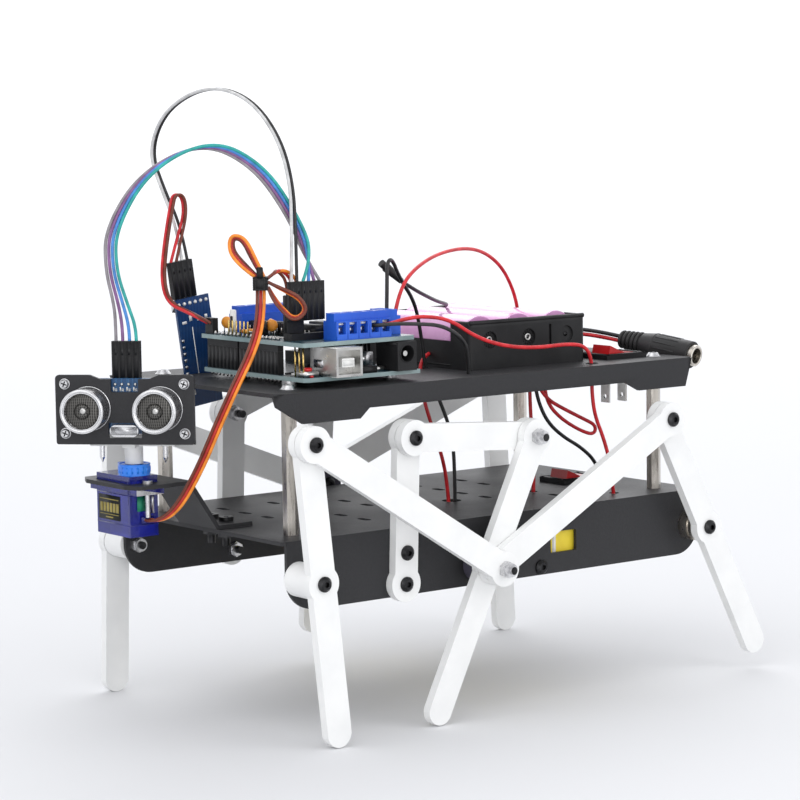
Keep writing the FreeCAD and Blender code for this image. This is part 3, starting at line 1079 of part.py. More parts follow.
TIE_TAIL = [tied(2.7, 1.9), V(34.4, -90.8, 170.6), V(33.2, -88.0, 171.5), V(32.0, -84.6, 170.6),
            V(PLUG_X - 1.35, -81.0, 167.4), V(PLUG_X - 1.35, -80.5, 161.8)]
tail_steps = [BEHIND, BEHIND, V(-0.3, 1.6, 0), V(0, 2.2, 0), V(0, 2.4, 0), V(0, 2.54, 0)]
lead_wires += bundle("tie_tail", TIE_TAIL, tail_steps, 3, THIN)
node(carve("zip_tie_cut", tie_block, lead_wires), "zip_tie")
plugs[-2] = carve("plug_front_cut", plugs[-2], fold_wires)
plugs[-1] = carve("radio_plug_cut", plugs[-1], loop_wires + fold_wires)
node(group("plug_set", *plugs), "jumper_plugs")
node(group("servo_lead_set", *lead_wires), "servo_lead")

MOUTH_X = BOARD_X1 - 1.4 - 2.5
mouths = [BOARD_Y0 + 15.6 + 5.08 * (k + 0.5) for k in range(5)]
SUPPLY = {
    "feed_red": [(MOUTH_X, mouths[4], 149.8), (47.8, -48.9, 149.9), (50.4, -44.0, 151.6), (49.6, -34.0, 152.4),
                 (48.8, -20.0, 150.2), (48.2, -7.0, 142.6), (47.8, 8.0, 138.0), (47.6, 24.0, 136.4),
                 (47.6, 40.0, 137.0), (47.6, 49.6, 135.6), (47.6, 52.8, 129.0), (47.4, 52.6, 118.0),
                 (46.6, 54.8, 107.5), (44.8, 61.0, 98.0), (43.2, 66.2, 86.5), (42.0, 69.0, 72.5)],
    "feed_black": [(MOUTH_X, mouths[3], 149.8), (47.6, -54.2, 149.8), (50.8, -49.8, 150.4), (51.6, -39.0, 149.8),
                   (51.0, -25.0, 148.4), (49.0, -13.0, 142.0), (45.6, -8.6, 134.5), (44.8, -8.0, 128.3)],
    "arc_red": [(36.15, -36.6, shield_top + 7.0), (36.0, -34.6, 160.0), (31.0, -24.5, 168.0), (20.3, -2.7, 173.8),
                (6.8, 26.0, 174.5), (-3.5, 48.0, 167.0), (-9.5, 61.0, 154.0), (-11.5, 65.3, 141.0),
                (-12.0, 66.0, 128.3)],
    "splice_a": [tuple(SPLICE_END), (13.8, -9.6, 159.4), (8.2, 1.8, 155.6), (0.0, 13.2, 152.8), (-9.0, 24.0, 151.0),
                 (-18.5, 32.6, 149.6), (-27.5, 37.8, 147.9), (-37.0, 38.95, 147.0)],
}
supply_wires = [cord(name, line, WIRE) for name, line in SUPPLY.items()]
node(carve("splice_cut", splice, supply_wires[-1:]), "dc_plug")
node(group("supply_wire_set", *supply_wires), "supply_wires")

MOTOR = {
    "thin_black": [(31.05, -36.6, shield_top + 7.0), (30.8, -36.0, 163.0), (30.4, -35.6, 171.6), (28.2, -31.6, 173.4),
                   (23.4, -24.2, 165.0), (17.6, -12.4, 155.0), (14.8, -7.4, 142.0), (14.4, -5.2, 128.0),
                   (14.6, 1.6, 115.5), (15.2, 7.4, 101.0), (15.0, 8.6, 86.0), (14.6, 8.8, 72.0)],
    "short_red": [(11.5, -0.8, 133.6), (11.6, -3.8, 132.6), (12.2, -6.4, 127.6), (12.6, -5.4, 118.0),
                  (13.0, -1.6, 106.0), (13.0, 3.4, 94.0), (12.6, 6.4, 83.0), (12.2, 7.6, 72.5)],
    "drop_black": [(19.4, 45.6, 128.3), (19.6, 46.4, 120.5), (19.9, 48.4, 111.0), (20.2, 53.0, 102.5),
                   (20.6, 61.0, 96.0), (20.8, 70.4, 91.0), (20.2, 79.6, 83.6), (19.0, 85.5, 72.5)],
    "slack_red": [(23.4, 45.0, 128.3), (23.0, 44.8, 119.5), (22.8, 50.4, 112.4), (22.6, 60.4, 107.4),
                  (22.4, 70.0, 103.0), (22.2, 77.4, 99.6), (22.0, 76.2, 95.6), (22.0, 67.8, 98.6),
                  (22.0, 58.0, 104.2), (22.0, 51.4, 110.6), (22.2, 49.4, 119.0), (22.2, 48.9, 128.3)],
    "down_red": [(17.4, 45.8, 128.3), (17.2, 46.0, 117.0), (16.6, 47.2, 102.0), (16.9, 48.4, 87.0),
                 (16.5, 48.0, 72.5)],
}
motor_wires = [cord(name, line, WIRE) for name, line in MOTOR.items()]
node(group("motor_wire_set", *motor_wires), "motor_wires")

jack_pair = [JACK_START, V(2.4, 97.6, 134.8), V(-7.6, 91.0, 136.0), V(-14.6, 80.6, 136.4),
             V(-17.4, 69.2, 136.2), V(-17.5, HOLD_Y0 + size("holder_width"), 136.0)]
jack_steps = [(0.2, 0, 1.9)] + [(0, 0, 1.9)] * 5
jack_wires = bundle("jack_wire", [tuple(p) for p in jack_pair], jack_steps, 2, 0.85)
node(group("jack_wire_set", *jack_wires), "jack_wires")

# ---------------------------------------------------------------- place, check and export
doc.recompute()
CORDS = {"sensor_wires", "bluetooth_wires", "servo_lead", "supply_wires", "motor_wires", "jack_wires"}
limits = FreeCAD.BoundBox()
for item in NODES:
    if item.Label not in CORDS:
        limits.add(item.Shape.BoundBox)
print("extent without wires:", limits)
SHIFT = V(-limits.Center.x, -limits.Center.y, -limits.ZMin)
for item in NODES:
    item.Placement = FreeCAD.Placement(SHIFT, FreeCAD.Rotation()).multiply(item.Placement)
doc.recompute()

for item in doc.Objects:
    if "Invalid" in item.State or "Error" in item.State:
        print("FAULT", item.Name, item.State)
os.makedirs("parts", exist_ok=True)
for item in NODES:
    shape = item.Shape
    if not shape.isValid() or shape.Volume < 1e-3:
        print("BAD SHAPE", item.Label, shape.Volume)
    shape.exportStep("parts/%s.step" % item.Label)
print(len(NODES), "sub-parts; moved by", SHIFT)
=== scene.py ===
import math

import bmesh
import bpy
from mathutils import Matrix, Vector


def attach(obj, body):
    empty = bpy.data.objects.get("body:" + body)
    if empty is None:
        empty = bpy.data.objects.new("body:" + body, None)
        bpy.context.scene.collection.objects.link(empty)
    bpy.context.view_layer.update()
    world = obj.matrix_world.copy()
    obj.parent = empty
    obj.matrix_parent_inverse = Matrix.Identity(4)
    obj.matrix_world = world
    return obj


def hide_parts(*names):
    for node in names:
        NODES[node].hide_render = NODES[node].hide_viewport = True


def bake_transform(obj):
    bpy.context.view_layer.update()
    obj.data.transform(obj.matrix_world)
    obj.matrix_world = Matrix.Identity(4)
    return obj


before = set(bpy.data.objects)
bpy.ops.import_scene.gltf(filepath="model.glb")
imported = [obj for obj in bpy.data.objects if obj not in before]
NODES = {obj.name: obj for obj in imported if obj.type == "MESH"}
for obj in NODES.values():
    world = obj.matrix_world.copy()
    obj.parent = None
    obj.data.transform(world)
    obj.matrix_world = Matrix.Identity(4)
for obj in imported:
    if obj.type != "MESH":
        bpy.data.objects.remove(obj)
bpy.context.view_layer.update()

# Everything below is written in design millimetres, whose origin is between the standoffs.
# The frame's origin is shifted from it.
SHIFT = Vector((0.0, 17.138, 0.469))
UPPER_DECK, LOWER_DECK = 128.3, 74.5     # top faces of the decks
HALF_WIDTH, BAR_LAYER = 55.5, 4.0        # side flanges, and one layer of bars to the next
HEAD_TURN, HEAD_AXIS_Y = 43.5, -131.5    # the head's turn at rest, in degrees, and its axis
HEADER_PITCH, TERMINAL_PITCH, CELL_PITCH = 2.54, 5.08, 19.7


def at(x, y, z):
    return (Vector((x, y, z)) + SHIFT) / 1000.0


# ------------------------------------------------------------------ camera
LENS, CAMERA_PLACE = 125.58, (871.60, -679.72, 232.07)
AZIMUTH, ELEVATION, ROLL = math.radians(52.33), math.radians(6.08), math.radians(-0.83)
right = Vector((math.cos(AZIMUTH), math.sin(AZIMUTH), 0))
forward = Vector((-math.sin(AZIMUTH) * math.cos(ELEVATION), math.cos(AZIMUTH) * math.cos(ELEVATION),
                  -math.sin(ELEVATION)))
up = right.cross(forward)
rolled_right = right * math.cos(ROLL) + up * math.sin(ROLL)
rolled_up = up * math.cos(ROLL) - right * math.sin(ROLL)
lens = bpy.data.cameras.new("camera")
lens.lens = LENS
lens.sensor_width = 36.0
lens.clip_end = 20.0
camera = bpy.data.objects.new("camera", lens)
bpy.context.scene.collection.objects.link(camera)
place = Matrix((rolled_right, rolled_up, -forward)).transposed().to_4x4()
place.translation = at(*CAMERA_PLACE)
camera.matrix_world = place
bpy.context.scene.camera = camera
bpy.context.scene.view_settings.view_transform = "Standard"


# ------------------------------------------------------------------ materials
def shader(name, color, rough=0.5, metal=0.0, coat=0.0, transmission=0.0, ior=1.45,
           specular=0.5):
    material = bpy.data.materials.new(name)
    material.use_nodes = True
    bsdf = material.node_tree.nodes["Principled BSDF"]
    bsdf.inputs["Base Color"].default_value = (*color, 1)
    bsdf.inputs["Roughness"].default_value = rough
    bsdf.inputs["Metallic"].default_value = metal
    bsdf.inputs["Coat Weight"].default_value = coat
    bsdf.inputs["Transmission Weight"].default_value = transmission
    bsdf.inputs["IOR"].default_value = ior
    bsdf.inputs["Specular IOR Level"].default_value = specular
    return material, material.node_tree, bsdf


def coordinates(tree, scale=(1, 1, 1)):
    source = tree.nodes.new("ShaderNodeTexCoord")
    mapping = tree.nodes.new("ShaderNodeMapping")
    mapping.inputs["Scale"].default_value = scale
    tree.links.new(source.outputs["Object"], mapping.inputs["Vector"])
    return mapping.outputs["Vector"]


def noise(tree, vector, scale, detail=3.0, rough=0.55):
    node = tree.nodes.new("ShaderNodeTexNoise")
    node.inputs["Scale"].default_value = scale
    node.inputs["Detail"].default_value = detail
    node.inputs["Roughness"].default_value = rough
    tree.links.new(vector, node.inputs["Vector"])
    return node.outputs["Fac"]


def ramp(tree, value, stops):
    node = tree.nodes.new("ShaderNodeValToRGB")
    elements = node.color_ramp.elements
    while len(elements) < len(stops):
        elements.new(0.5)
    for element, (position, color) in zip(elements, stops):
        element.position = position
        element.color = (*color, 1)
    tree.links.new(value, node.inputs["Fac"])
    return node.outputs["Color"]


def remap(tree, value, low, high, to_low, to_high):
    node = tree.nodes.new("ShaderNodeMapRange")
    for key, number in (("From Min", low), ("From Max", high), ("To Min", to_low), ("To Max", to_high)):
        node.inputs[key].default_value = number
    tree.links.new(value, node.inputs["Value"])
    return node.outputs["Result"]


def bump(tree, bsdf, height, strength, distance):
    node = tree.nodes.new("ShaderNodeBump")
    node.inputs["Strength"].default_value = strength
    node.inputs["Distance"].default_value = distance
    tree.links.new(height, node.inputs["Height"])
    tree.links.new(node.outputs["Normal"], bsdf.inputs["Normal"])


def tint(tree, bsdf, value, dark, light, low=0.3, high=0.7):
    tree.links.new(ramp(tree, value, [(low, dark), (high, light)]), bsdf.inputs["Base Color"])


def edge_wear(tree, color_socket, worn, bsdf):
    """Blend a worn colour in along convex edges."""
    geometry = tree.nodes.new("ShaderNodeNewGeometry")
    edge = remap(tree, geometry.outputs["Pointiness"], 0.515, 0.56, 0.0, 0.65)
    mix = tree.nodes.new("ShaderNodeMix")
    mix.data_type = "RGBA"
    mix.inputs["B"].default_value = (*worn, 1)
    tree.links.new(edge, mix.inputs["Factor"])
    tree.links.new(color_socket, mix.inputs["A"])
    tree.links.new(mix.outputs["Result"], bsdf.inputs["Base Color"])


def powder_coat():
    """Black powder coat: fine orange peel, soft sheen, a little lighter in patches and on edges."""
    material, tree, bsdf = shader("powder_coat", (0.01, 0.01, 0.011), 0.5, specular=0.22)
    vector = coordinates(tree)
    grain = noise(tree, vector, 2600, 2)
    cloud = noise(tree, vector, 22, 4)
    tree.links.new(remap(tree, cloud, 0.3, 0.7, 0.40, 0.54), bsdf.inputs["Roughness"])
    color = ramp(tree, noise(tree, vector, 900, 4),
                 [(0.3, (0.006, 0.006, 0.0065)), (0.72, (0.017, 0.017, 0.018))])
    edge_wear(tree, color, (0.045, 0.045, 0.048), bsdf)
    bump(tree, bsdf, grain, 0.35, 0.0002)
    return material


def plastic(name, dark, light, rough=0.5, grain=1800, strength=0.15, specular=0.5, coat=0.0):
    """Moulded plastic with a faint mottling and a fine spark-eroded grain."""
    material, tree, bsdf = shader(name, light, rough, coat=coat, specular=specular)
    vector = coordinates(tree)
    tint(tree, bsdf, noise(tree, vector, 60, 5), dark, light)
    tree.links.new(remap(tree, noise(tree, vector, 90, 3), 0.3, 0.7, rough - 0.06, rough + 0.08),
                   bsdf.inputs["Roughness"])
    bump(tree, bsdf, noise(tree, vector, grain, 2), strength, 0.0002)
    return material


def metal(name, dark, light, rough=0.3, stretch=(1, 1, 1), scratch=900):
    """Plated metal with drawn scratches and uneven shine."""
    material, tree, bsdf = shader(name, light, rough, metal=1.0)
    vector = coordinates(tree, stretch)
    tint(tree, bsdf, noise(tree, vector, scratch / 3, 6), dark, light, 0.32, 0.68)
    tree.links.new(remap(tree, noise(tree, vector, scratch, 4), 0.3, 0.7, rough - 0.08, rough + 0.14),
                   bsdf.inputs["Roughness"])
    bump(tree, bsdf, noise(tree, vector, scratch, 3), 0.12, 0.0001)
    return material


def insulation(name, color, rough=0.38):
    """Extruded wire insulation: satin, with slight colour drift along it."""
    material, tree, bsdf = shader(name, color, rough, specular=0.5)
    vector = coordinates(tree)
    dark = tuple(c * 0.72 for c in color)
    light = tuple(min(1.0, c * 1.12 + 0.01) for c in color)
    tint(tree, bsdf, noise(tree, vector, 240, 3), dark, light)
    bump(tree, bsdf, noise(tree, vector, 2600, 2), 0.08, 0.0001)
    return material


def circuit(name, mask, trace, scale=420):
    """Solder mask with raised tracks, laid in short straight runs."""
    material, tree, bsdf = shader(name, mask, 0.3, coat=0.35)
    vector = coordinates(tree)
    bricks = tree.nodes.new("ShaderNodeTexBrick")
    bricks.inputs["Scale"].default_value = scale
    bricks.inputs["Mortar Size"].default_value = 0.035
    bricks.inputs["Mortar Smooth"].default_value = 0.2
    bricks.inputs["Brick Width"].default_value = 1.7
    bricks.inputs["Row Height"].default_value = 0.6
    bricks.inputs["Color1"].default_value = (0, 0, 0, 1)
    bricks.inputs["Color2"].default_value = (0, 0, 0, 1)
    bricks.inputs["Mortar"].default_value = (1, 1, 1, 1)
    tree.links.new(vector, bricks.inputs["Vector"])
    patch = noise(tree, vector, 90, 2)
    keep = tree.nodes.new("ShaderNodeMath")
    keep.operation = "MULTIPLY"
    tree.links.new(bricks.outputs["Fac"], keep.inputs[0])
    tree.links.new(remap(tree, patch, 0.45, 0.52, 0.0, 1.0), keep.inputs[1])
    color = ramp(tree, keep.outputs["Value"], [(0.2, mask), (0.8, trace)])
    tree.links.new(color, bsdf.inputs["Base Color"])
    bump(tree, bsdf, keep.outputs["Value"], 0.4, 0.00005)
    return material


def grille():
    """Woven wire cloth in front of a sensor eye."""
    material, tree, bsdf = shader("wire_cloth", (0.12, 0.12, 0.11), 0.42, metal=0.8)
    vector = coordinates(tree)
    waves = []
    for axis in ("X", "Z"):
        wave = tree.nodes.new("ShaderNodeTexWave")
        wave.bands_direction = axis
        wave.inputs["Scale"].default_value = 560
        tree.links.new(vector, wave.inputs["Vector"])
        waves.append(wave.outputs["Fac"])
    both = tree.nodes.new("ShaderNodeMath")
    both.operation = "MAXIMUM"
    for k in (0, 1):
        tree.links.new(waves[k], both.inputs[k])
    cloth = ramp(tree, both.outputs["Value"], [(0.6, (0.004, 0.004, 0.004)), (0.95, (0.16, 0.155, 0.145))])
    tree.links.new(cloth, bsdf.inputs["Base Color"])
    bump(tree, bsdf, both.outputs["Value"], 0.5, 0.0001)
    return material


def clear_tint(name, color, rough=0.08):
    """Clear tinted plastic, thin enough to see shapes through."""
    material, tree, bsdf = shader(name, color, rough, transmission=0.55, ior=1.49, coat=0.3)
    vector = coordinates(tree)
    tint(tree, bsdf, noise(tree, vector, 140, 4), tuple(c * 0.6 for c in color), color)
    tree.links.new(remap(tree, noise(tree, vector, 300, 3), 0.3, 0.7, rough, rough + 0.15),
                   bsdf.inputs["Roughness"])
    bump(tree, bsdf, noise(tree, vector, 160, 2), 0.1, 0.0004)
    return material


M = {
    "coat": powder_coat(),
    "white": plastic("white_acetal", (0.80, 0.805, 0.80), (0.87, 0.872, 0.862), 0.46, 700, 0.12),
    "white_nylon": plastic("white_nylon", (0.70, 0.70, 0.70), (0.82, 0.82, 0.81), 0.5),
    "nickel": metal("nickel", (0.42, 0.39, 0.35), (0.72, 0.68, 0.62), 0.28, (1, 1, 0.12)),
    "steel": metal("steel", (0.45, 0.45, 0.46), (0.78, 0.78, 0.79), 0.3),
    "tin": metal("tin", (0.46, 0.455, 0.44), (0.62, 0.615, 0.6), 0.3, scratch=260),
    "gold": metal("gold", (0.55, 0.38, 0.1), (0.85, 0.62, 0.25), 0.25, scratch=1600),
    "black_oxide": metal("black_oxide", (0.02, 0.02, 0.021), (0.06, 0.06, 0.062), 0.36),
    "aluminium": metal("aluminium", (0.6, 0.6, 0.61), (0.8, 0.8, 0.81), 0.24, (1, 0.1, 1), 300),
    "yellow": plastic("yellow_nylon", (0.68, 0.5, 0.02), (0.86, 0.68, 0.05), 0.4),
    "crank": plastic("crank_nylon", (0.035, 0.032, 0.05), (0.07, 0.065, 0.09), 0.42),
    "black": plastic("black_nylon", (0.008, 0.008, 0.009), (0.02, 0.02, 0.021), 0.42, specular=0.28),
    "black_soft": plastic("black_pvc", (0.012, 0.012, 0.012), (0.032, 0.032, 0.033), 0.5, 900, 0.2),
    "servo": clear_tint("servo_blue", (0.02, 0.03, 0.42)),
    "turret": plastic("turret_blue", (0.01, 0.12, 0.75), (0.03, 0.28, 0.95), 0.3, coat=0.3),
    "board": circuit("board_mask", (0.012, 0.05, 0.075), (0.03, 0.11, 0.14)),
    "board_edge": plastic("board_edge", (0.16, 0.24, 0.25), (0.3, 0.38, 0.38), 0.5),
    "radio": circuit("radio_mask", (0.006, 0.035, 0.12), (0.015, 0.08, 0.22)),
    "sonar": circuit("sonar_mask", (0.005, 0.05, 0.14), (0.02, 0.12, 0.26)),
    "terminal": plastic("terminal_blue", (0.01, 0.075, 0.5), (0.02, 0.13, 0.68), 0.36, coat=0.15),
    "wrap": plastic("cell_wrap", (0.62, 0.27, 0.55), (0.78, 0.42, 0.72), 0.22, 400, 0.05, coat=0.6),
    "red": plastic("switch_red", (0.42, 0.004, 0.006), (0.62, 0.012, 0.014), 0.3, coat=0.3),
    "amber": plastic("capacitor_amber", (0.62, 0.22, 0.02), (0.85, 0.36, 0.04), 0.35, 300, 0.3),
    "print": plastic("board_print", (0.7, 0.7, 0.68), (0.85, 0.85, 0.83), 0.6),
    "green": plastic("inner_green", (0.0, 0.12, 0.06), (0.02, 0.3, 0.16), 0.5),
    "label": plastic("label_dark", (0.006, 0.007, 0.006), (0.012, 0.014, 0.012), 0.4, specular=0.3),
    "label_gold": plastic("label_gold", (0.2, 0.16, 0.03), (0.42, 0.34, 0.08), 0.4),
    "grille": grille(),
    "w_grey": insulation("wire_grey", (0.27, 0.25, 0.27)),
    "w_purple": insulation("wire_purple", (0.23, 0.1, 0.26)),
    "w_blue": insulation("wire_blue", (0.06, 0.24, 0.62)),
    "w_teal": insulation("wire_teal", (0.02, 0.36, 0.33)),
    "w_white": insulation("wire_white", (0.6, 0.6, 0.6)),
    "w_black": insulation("wire_black", (0.014, 0.014, 0.015)),
    "w_red": insulation("wire_red", (0.62, 0.012, 0.02)),
    "w_brown": insulation("wire_brown", (0.16, 0.03, 0.012)),
    "w_orange": insulation("wire_orange", (0.9, 0.27, 0.02)),
    "w_dark_red": insulation("wire_dark_red", (0.45, 0.02, 0.015)),
}


# ------------------------------------------------------------------ colouring the CAD nodes
def paint(node, base, *rules):
    """Give a CAD node its material, and other materials where a test on a face's centre holds."""
    mesh = NODES[node].data
    mesh.materials.clear()
    mesh.materials.append(M[base])
    names = [base]
    for _, key in rules:
        if key not in names:
            names.append(key)
            mesh.materials.append(M[key])
    for face in mesh.polygons:
        face.material_index = 0
        if rules:
            c = face.center * 1000.0 - SHIFT
            for test, key in rules:
                if test(c, face.normal):
                    face.material_index = names.index(key)
                    break


def near_axis(y, z, reach):
    return lambda c: (c.y - y) ** 2 + (c.z - z) ** 2 < reach * reach


for name in ("lower_chassis", "upper_deck", "servo_bracket", "sensor_bracket"):
    paint(name, "coat")
for name in ("left_post", "right_post", "front_hip_spacers"):
    paint(name, "white")
for side in ("left", "right"):
    for name in ("front_coupler", "rear_coupler", "rocker"):
        paint("%s_%s" % (side, name), "white")
    for name, level, nut_side in (("front_leg", 3, -1), ("rear_leg", 2, -1), ("middle_leg", 2, 1)):
        inner = HALF_WIDTH + BAR_LAYER * level + 0.1
        outer = HALF_WIDTH + BAR_LAYER * level + 3.9

        def nut_part(c, n, way=nut_side, low=inner, high=outer):
            far = abs(c.x)
            return low - 4.1 < far < low if way < 0 else high < far < high + 4.0

        def screw_part(c, n, low=inner, high=outer):
            return abs(c.x) < low or abs(c.x) > high
        paint("%s_%s" % (side, name), "white", (nut_part, "steel"), (screw_part, "black_oxide"))
    paint(side + "_crank", "crank")
    paint(side + "_crank_pin", "steel", (lambda c, n: abs(c.x) < 58.2, "black_oxide"),
          (lambda c, n: abs(c.x) > 79.55, "black_oxide"))
paint("standoffs", "nickel")
paint("deck_screws", "steel")
paint("lock_nuts", "steel")
paint("rear_hip_spacers", "nickel")
paint("black_screws", "black_oxide")
paint("gearboxes", "yellow", (lambda c, n: abs(c.x) > 54.02, "white_nylon"))
paint("motor_cans", "steel")
paint("servo_case", "servo", (lambda c, n: c.z > 96.8, "turret"),
      (lambda c, n: abs(c.y + 131.5) < 2.0 and (c.x > 6.8 or c.x < -17.6) and abs(n.z) < 0.3, "steel"),
      (lambda c, n: c.z > 93.95 and (c.x > 6.2 or c.x < -17.0), "steel"))
paint("servo_horn", "white_nylon")
paint("controller_board", "board", (lambda c, n: c.z < 130.75 or c.z > 132.45, "steel"),
      (lambda c, n: abs(n.z) < 0.3, "board_edge"))
paint("shield_board", "board", (lambda c, n: abs(n.z) < 0.3, "board_edge"))
paint("controller_headers", "black")
paint("usb_socket", "tin", (lambda c, n: c.x > 48.4 and abs(c.y + 72.1) < 2.9 and 135.9 < c.z < 139.3,
                            "print"))
paint("power_socket", "black", (lambda c, n: near_axis(-42.2, 138.8, 1.05)(c) and c.x > 42, "tin"))
paint("terminal_blocks", "terminal")
paint("driver_chips", "black")
paint("jumper_plugs", "black")
paint("bluetooth_board", "radio", (lambda c, n: c.x < -36.9, "steel"), (lambda c, n: c.z > 158.9, "gold"),
      (lambda c, n: c.x < -35.52, "black"))
paint("battery_holder", "black")
paint("battery_cells", "wrap", (lambda c, n: c.x > 30.9, "steel"))
for name in ("upper_switch_housing", "lower_switch_housing"):
    deck = UPPER_DECK if name.startswith("upper") else LOWER_DECK
    paint(name, "black", (lambda c, n, d=deck: c.z < d - 9.45 and abs(n.z) < 0.99 or c.z < d - 9.6, "tin"))
for name in ("upper_switch", "lower_switch"):
    paint(name, "red")
JACK_START, JACK_END = Vector((12.0, 101.0, 133.0)), Vector((45.1, 109.4, 127.8))
JACK_WAY = (JACK_END - JACK_START).normalized()


def past_jack(c, n):
    along = (c - JACK_START).dot(JACK_WAY)
    off = ((c - JACK_START) - JACK_WAY * along).length
    return along > 34.52 or (off < 3.25 and along > 23)


paint("dc_jack", "black_soft", (past_jack, "nickel"))
paint("dc_plug", "black_soft")
paint("zip_tie", "black")
paint("sensor_board", "sonar")
paint("sensor_plug", "black")
HEAD = (Matrix.Translation((0, HEAD_AXIS_Y, 0)) @ Matrix.Rotation(math.radians(HEAD_TURN), 4, "Z")
        @ Matrix.Translation((0, -HEAD_AXIS_Y, 0)))
HEAD_BACK = HEAD.inverted()
paint("sensor_transducers", "aluminium",
      (lambda c, n: (HEAD_BACK @ c).y < -152.3 and (HEAD_BACK.to_3x3() @ n).y < -0.9
       and ((abs((HEAD_BACK @ c).x) - 13.5) ** 2 + (c.z - 122.4) ** 2) < 43, "grille"))


# ------------------------------------------------------------------ small pieces
class Piece:
    """A mesh put together from bevelled primitives, each with its own material."""

    def __init__(self, name):
        self.name, self.mesh, self.keys = name, bmesh.new(), []

    def _index(self, key):
        if key not in self.keys:
            self.keys.append(key)
        return self.keys.index(key)

    def _keep(self, part, key, transform):
        index = self._index(key)
        for face in part.faces:
            face.material_index = index
            face.smooth = True
        part.transform(transform)
        data = bpy.data.meshes.new("part")
        part.to_mesh(data)
        part.free()
        self.mesh.from_mesh(data)
        bpy.data.meshes.remove(data)

    def box(self, low, size, key, bevel=0.15, turn=None):
        part = bmesh.new()
        bmesh.ops.create_cube(part, size=1.0)
        bmesh.ops.scale(part, vec=size, verts=part.verts)
        if bevel:
            bmesh.ops.bevel(part, geom=part.edges[:], offset=min(bevel, 0.45 * min(size)), segments=2,
                            affect="EDGES", clamp_overlap=True)
        middle = Vector(low) + Vector(size) / 2
        self._keep(part, key, (turn or Matrix.Identity(4)) @ Matrix.Translation(middle))
        return self

    def tube(self, base, way, r1, length, key, r2=None, segments=24, bevel=0.1, turn=None):
        part = bmesh.new()
        bmesh.ops.create_cone(part, cap_ends=True, segments=segments, radius1=r1,
                              radius2=r1 if r2 is None else r2, depth=length)
        if bevel:
            rims = [e for e in part.edges
                    if len(e.link_faces) == 2 and any(len(f.verts) > 4 for f in e.link_faces)]
            bmesh.ops.bevel(part, geom=rims, offset=min(bevel, 0.4 * length), segments=2, affect="EDGES",
                            clamp_overlap=True)
        spin = Vector((0, 0, 1)).rotation_difference(Vector(way)).to_matrix().to_4x4()
        middle = Vector(base) + Vector(way).normalized() * (length / 2)
        self._keep(part, key, (turn or Matrix.Identity(4)) @ Matrix.Translation(middle) @ spin)
        return self

    def ball(self, centre, size, key, turn=None):
        part = bmesh.new()
        bmesh.ops.create_uvsphere(part, u_segments=20, v_segments=12, radius=1.0)
        bmesh.ops.scale(part, vec=size, verts=part.verts)
        self._keep(part, key, (turn or Matrix.Identity(4)) @ Matrix.Translation(centre))
        return self

    def ring(self, centre, way, radius, thick, key, turn=None, segments=48):
        part = bmesh.new()
        loops = []
        for i in range(segments):
            a = 2 * math.pi * i / segments
            loop = []
            for j in range(10):
                b = 2 * math.pi * j / 10
                r = radius + thick * math.cos(b)
                loop.append(part.verts.new((r * math.cos(a), r * math.sin(a), thick * math.sin(b))))
            loops.append(loop)
        for i in range(segments):
            for j in range(10):
                k, m = (i + 1) % segments, (j + 1) % 10
                part.faces.new((loops[i][j], loops[k][j], loops[k][m], loops[i][m]))
        spin = Vector((0, 0, 1)).rotation_difference(Vector(way)).to_matrix().to_4x4()
        self._keep(part, key, (turn or Matrix.Identity(4)) @ Matrix.Translation(centre) @ spin)
        return self

    def done(self, body, turn=None):
        if turn is not None:
            self.mesh.transform(turn)
        self.mesh.transform(Matrix.Scale(0.001, 4) @ Matrix.Translation(SHIFT))
        data = bpy.data.meshes.new(self.name)
        self.mesh.to_mesh(data)
        self.mesh.free()
        for key in self.keys:
            data.materials.append(M[key])
        data.shade_smooth()
        thing = bpy.data.objects.new(self.name, data)
        bpy.context.scene.collection.objects.link(thing)
        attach(thing, body)
        return thing


# ------------------------------------------------------------------ sensor head
PLATE_Y, EYE_Z = -142.0, 122.4
eyes = Piece("sensor_eyes")
for x in (-13.5, 13.5):
    eyes.ring((x, -153.75, EYE_Z), (0, 1, 0), 7.45, 0.55, "aluminium")
    eyes.ring((x, -143.7, EYE_Z), (0, 1, 0), 8.1, 0.16, "aluminium")
    eyes.ball((x, -152.55, EYE_Z), (6.3, 0.7, 6.3), "grille")
    eyes.tube((x, -153.05, EYE_Z), (0, -1, 0), 3.4, 0.5, "grille", r2=1.7)
    eyes.tube((x + 0.4, -153.5, EYE_Z + 0.2), (0, -1, 0), 1.7, 0.45, "tin", r2=0.5)
for x in (-22.4, 22.4):
    for z in (-9.1, 9.1):
        for angle in (20, 110):
            spin = Matrix.Translation((x, -144.68, EYE_Z + z)) @ Matrix.Rotation(math.radians(angle), 4, "Y")
            eyes.box((-1.1, -0.06, -0.24), (2.2, 0.12, 0.48), "black_oxide", 0.04, spin)
        eyes.ring((x, -143.65, EYE_Z + z), (0, 1, 0), 1.85, 0.16, "steel")
eyes.done("sensor_head", HEAD)
sonar = Piece("sensor_board_parts")
for k in range(4):
    x = -3.81 + HEADER_PITCH * k
    sonar.tube((x, PLATE_Y + 0.1, 131.2), (0, -1, 0), 0.7, 0.6, "tin", r2=0.3, segments=14)
    sonar.box((x - 0.85, PLATE_Y - 0.02, 128.7), (0.5, 0.12, 1.5), "print", 0.03)
    sonar.box((x - 0.15, PLATE_Y - 0.02, 129.3), (0.9, 0.12, 0.3), "print", 0.03)
    sonar.box((x - 0.15, PLATE_Y - 0.02, 128.7), (0.9, 0.12, 0.3), "print", 0.03)
sonar.ring((0, PLATE_Y - 3.35, 114.4), (0, 1, 0), 0.01, 0.01, "tin", segments=6)
sonar.box((-4.9, PLATE_Y - 3.62, 112.9), (9.8, 0.14, 3.0), "steel", 0.06)
sonar.done("sensor_head", HEAD)
plug_lines = Piece("sensor_plug_grooves")
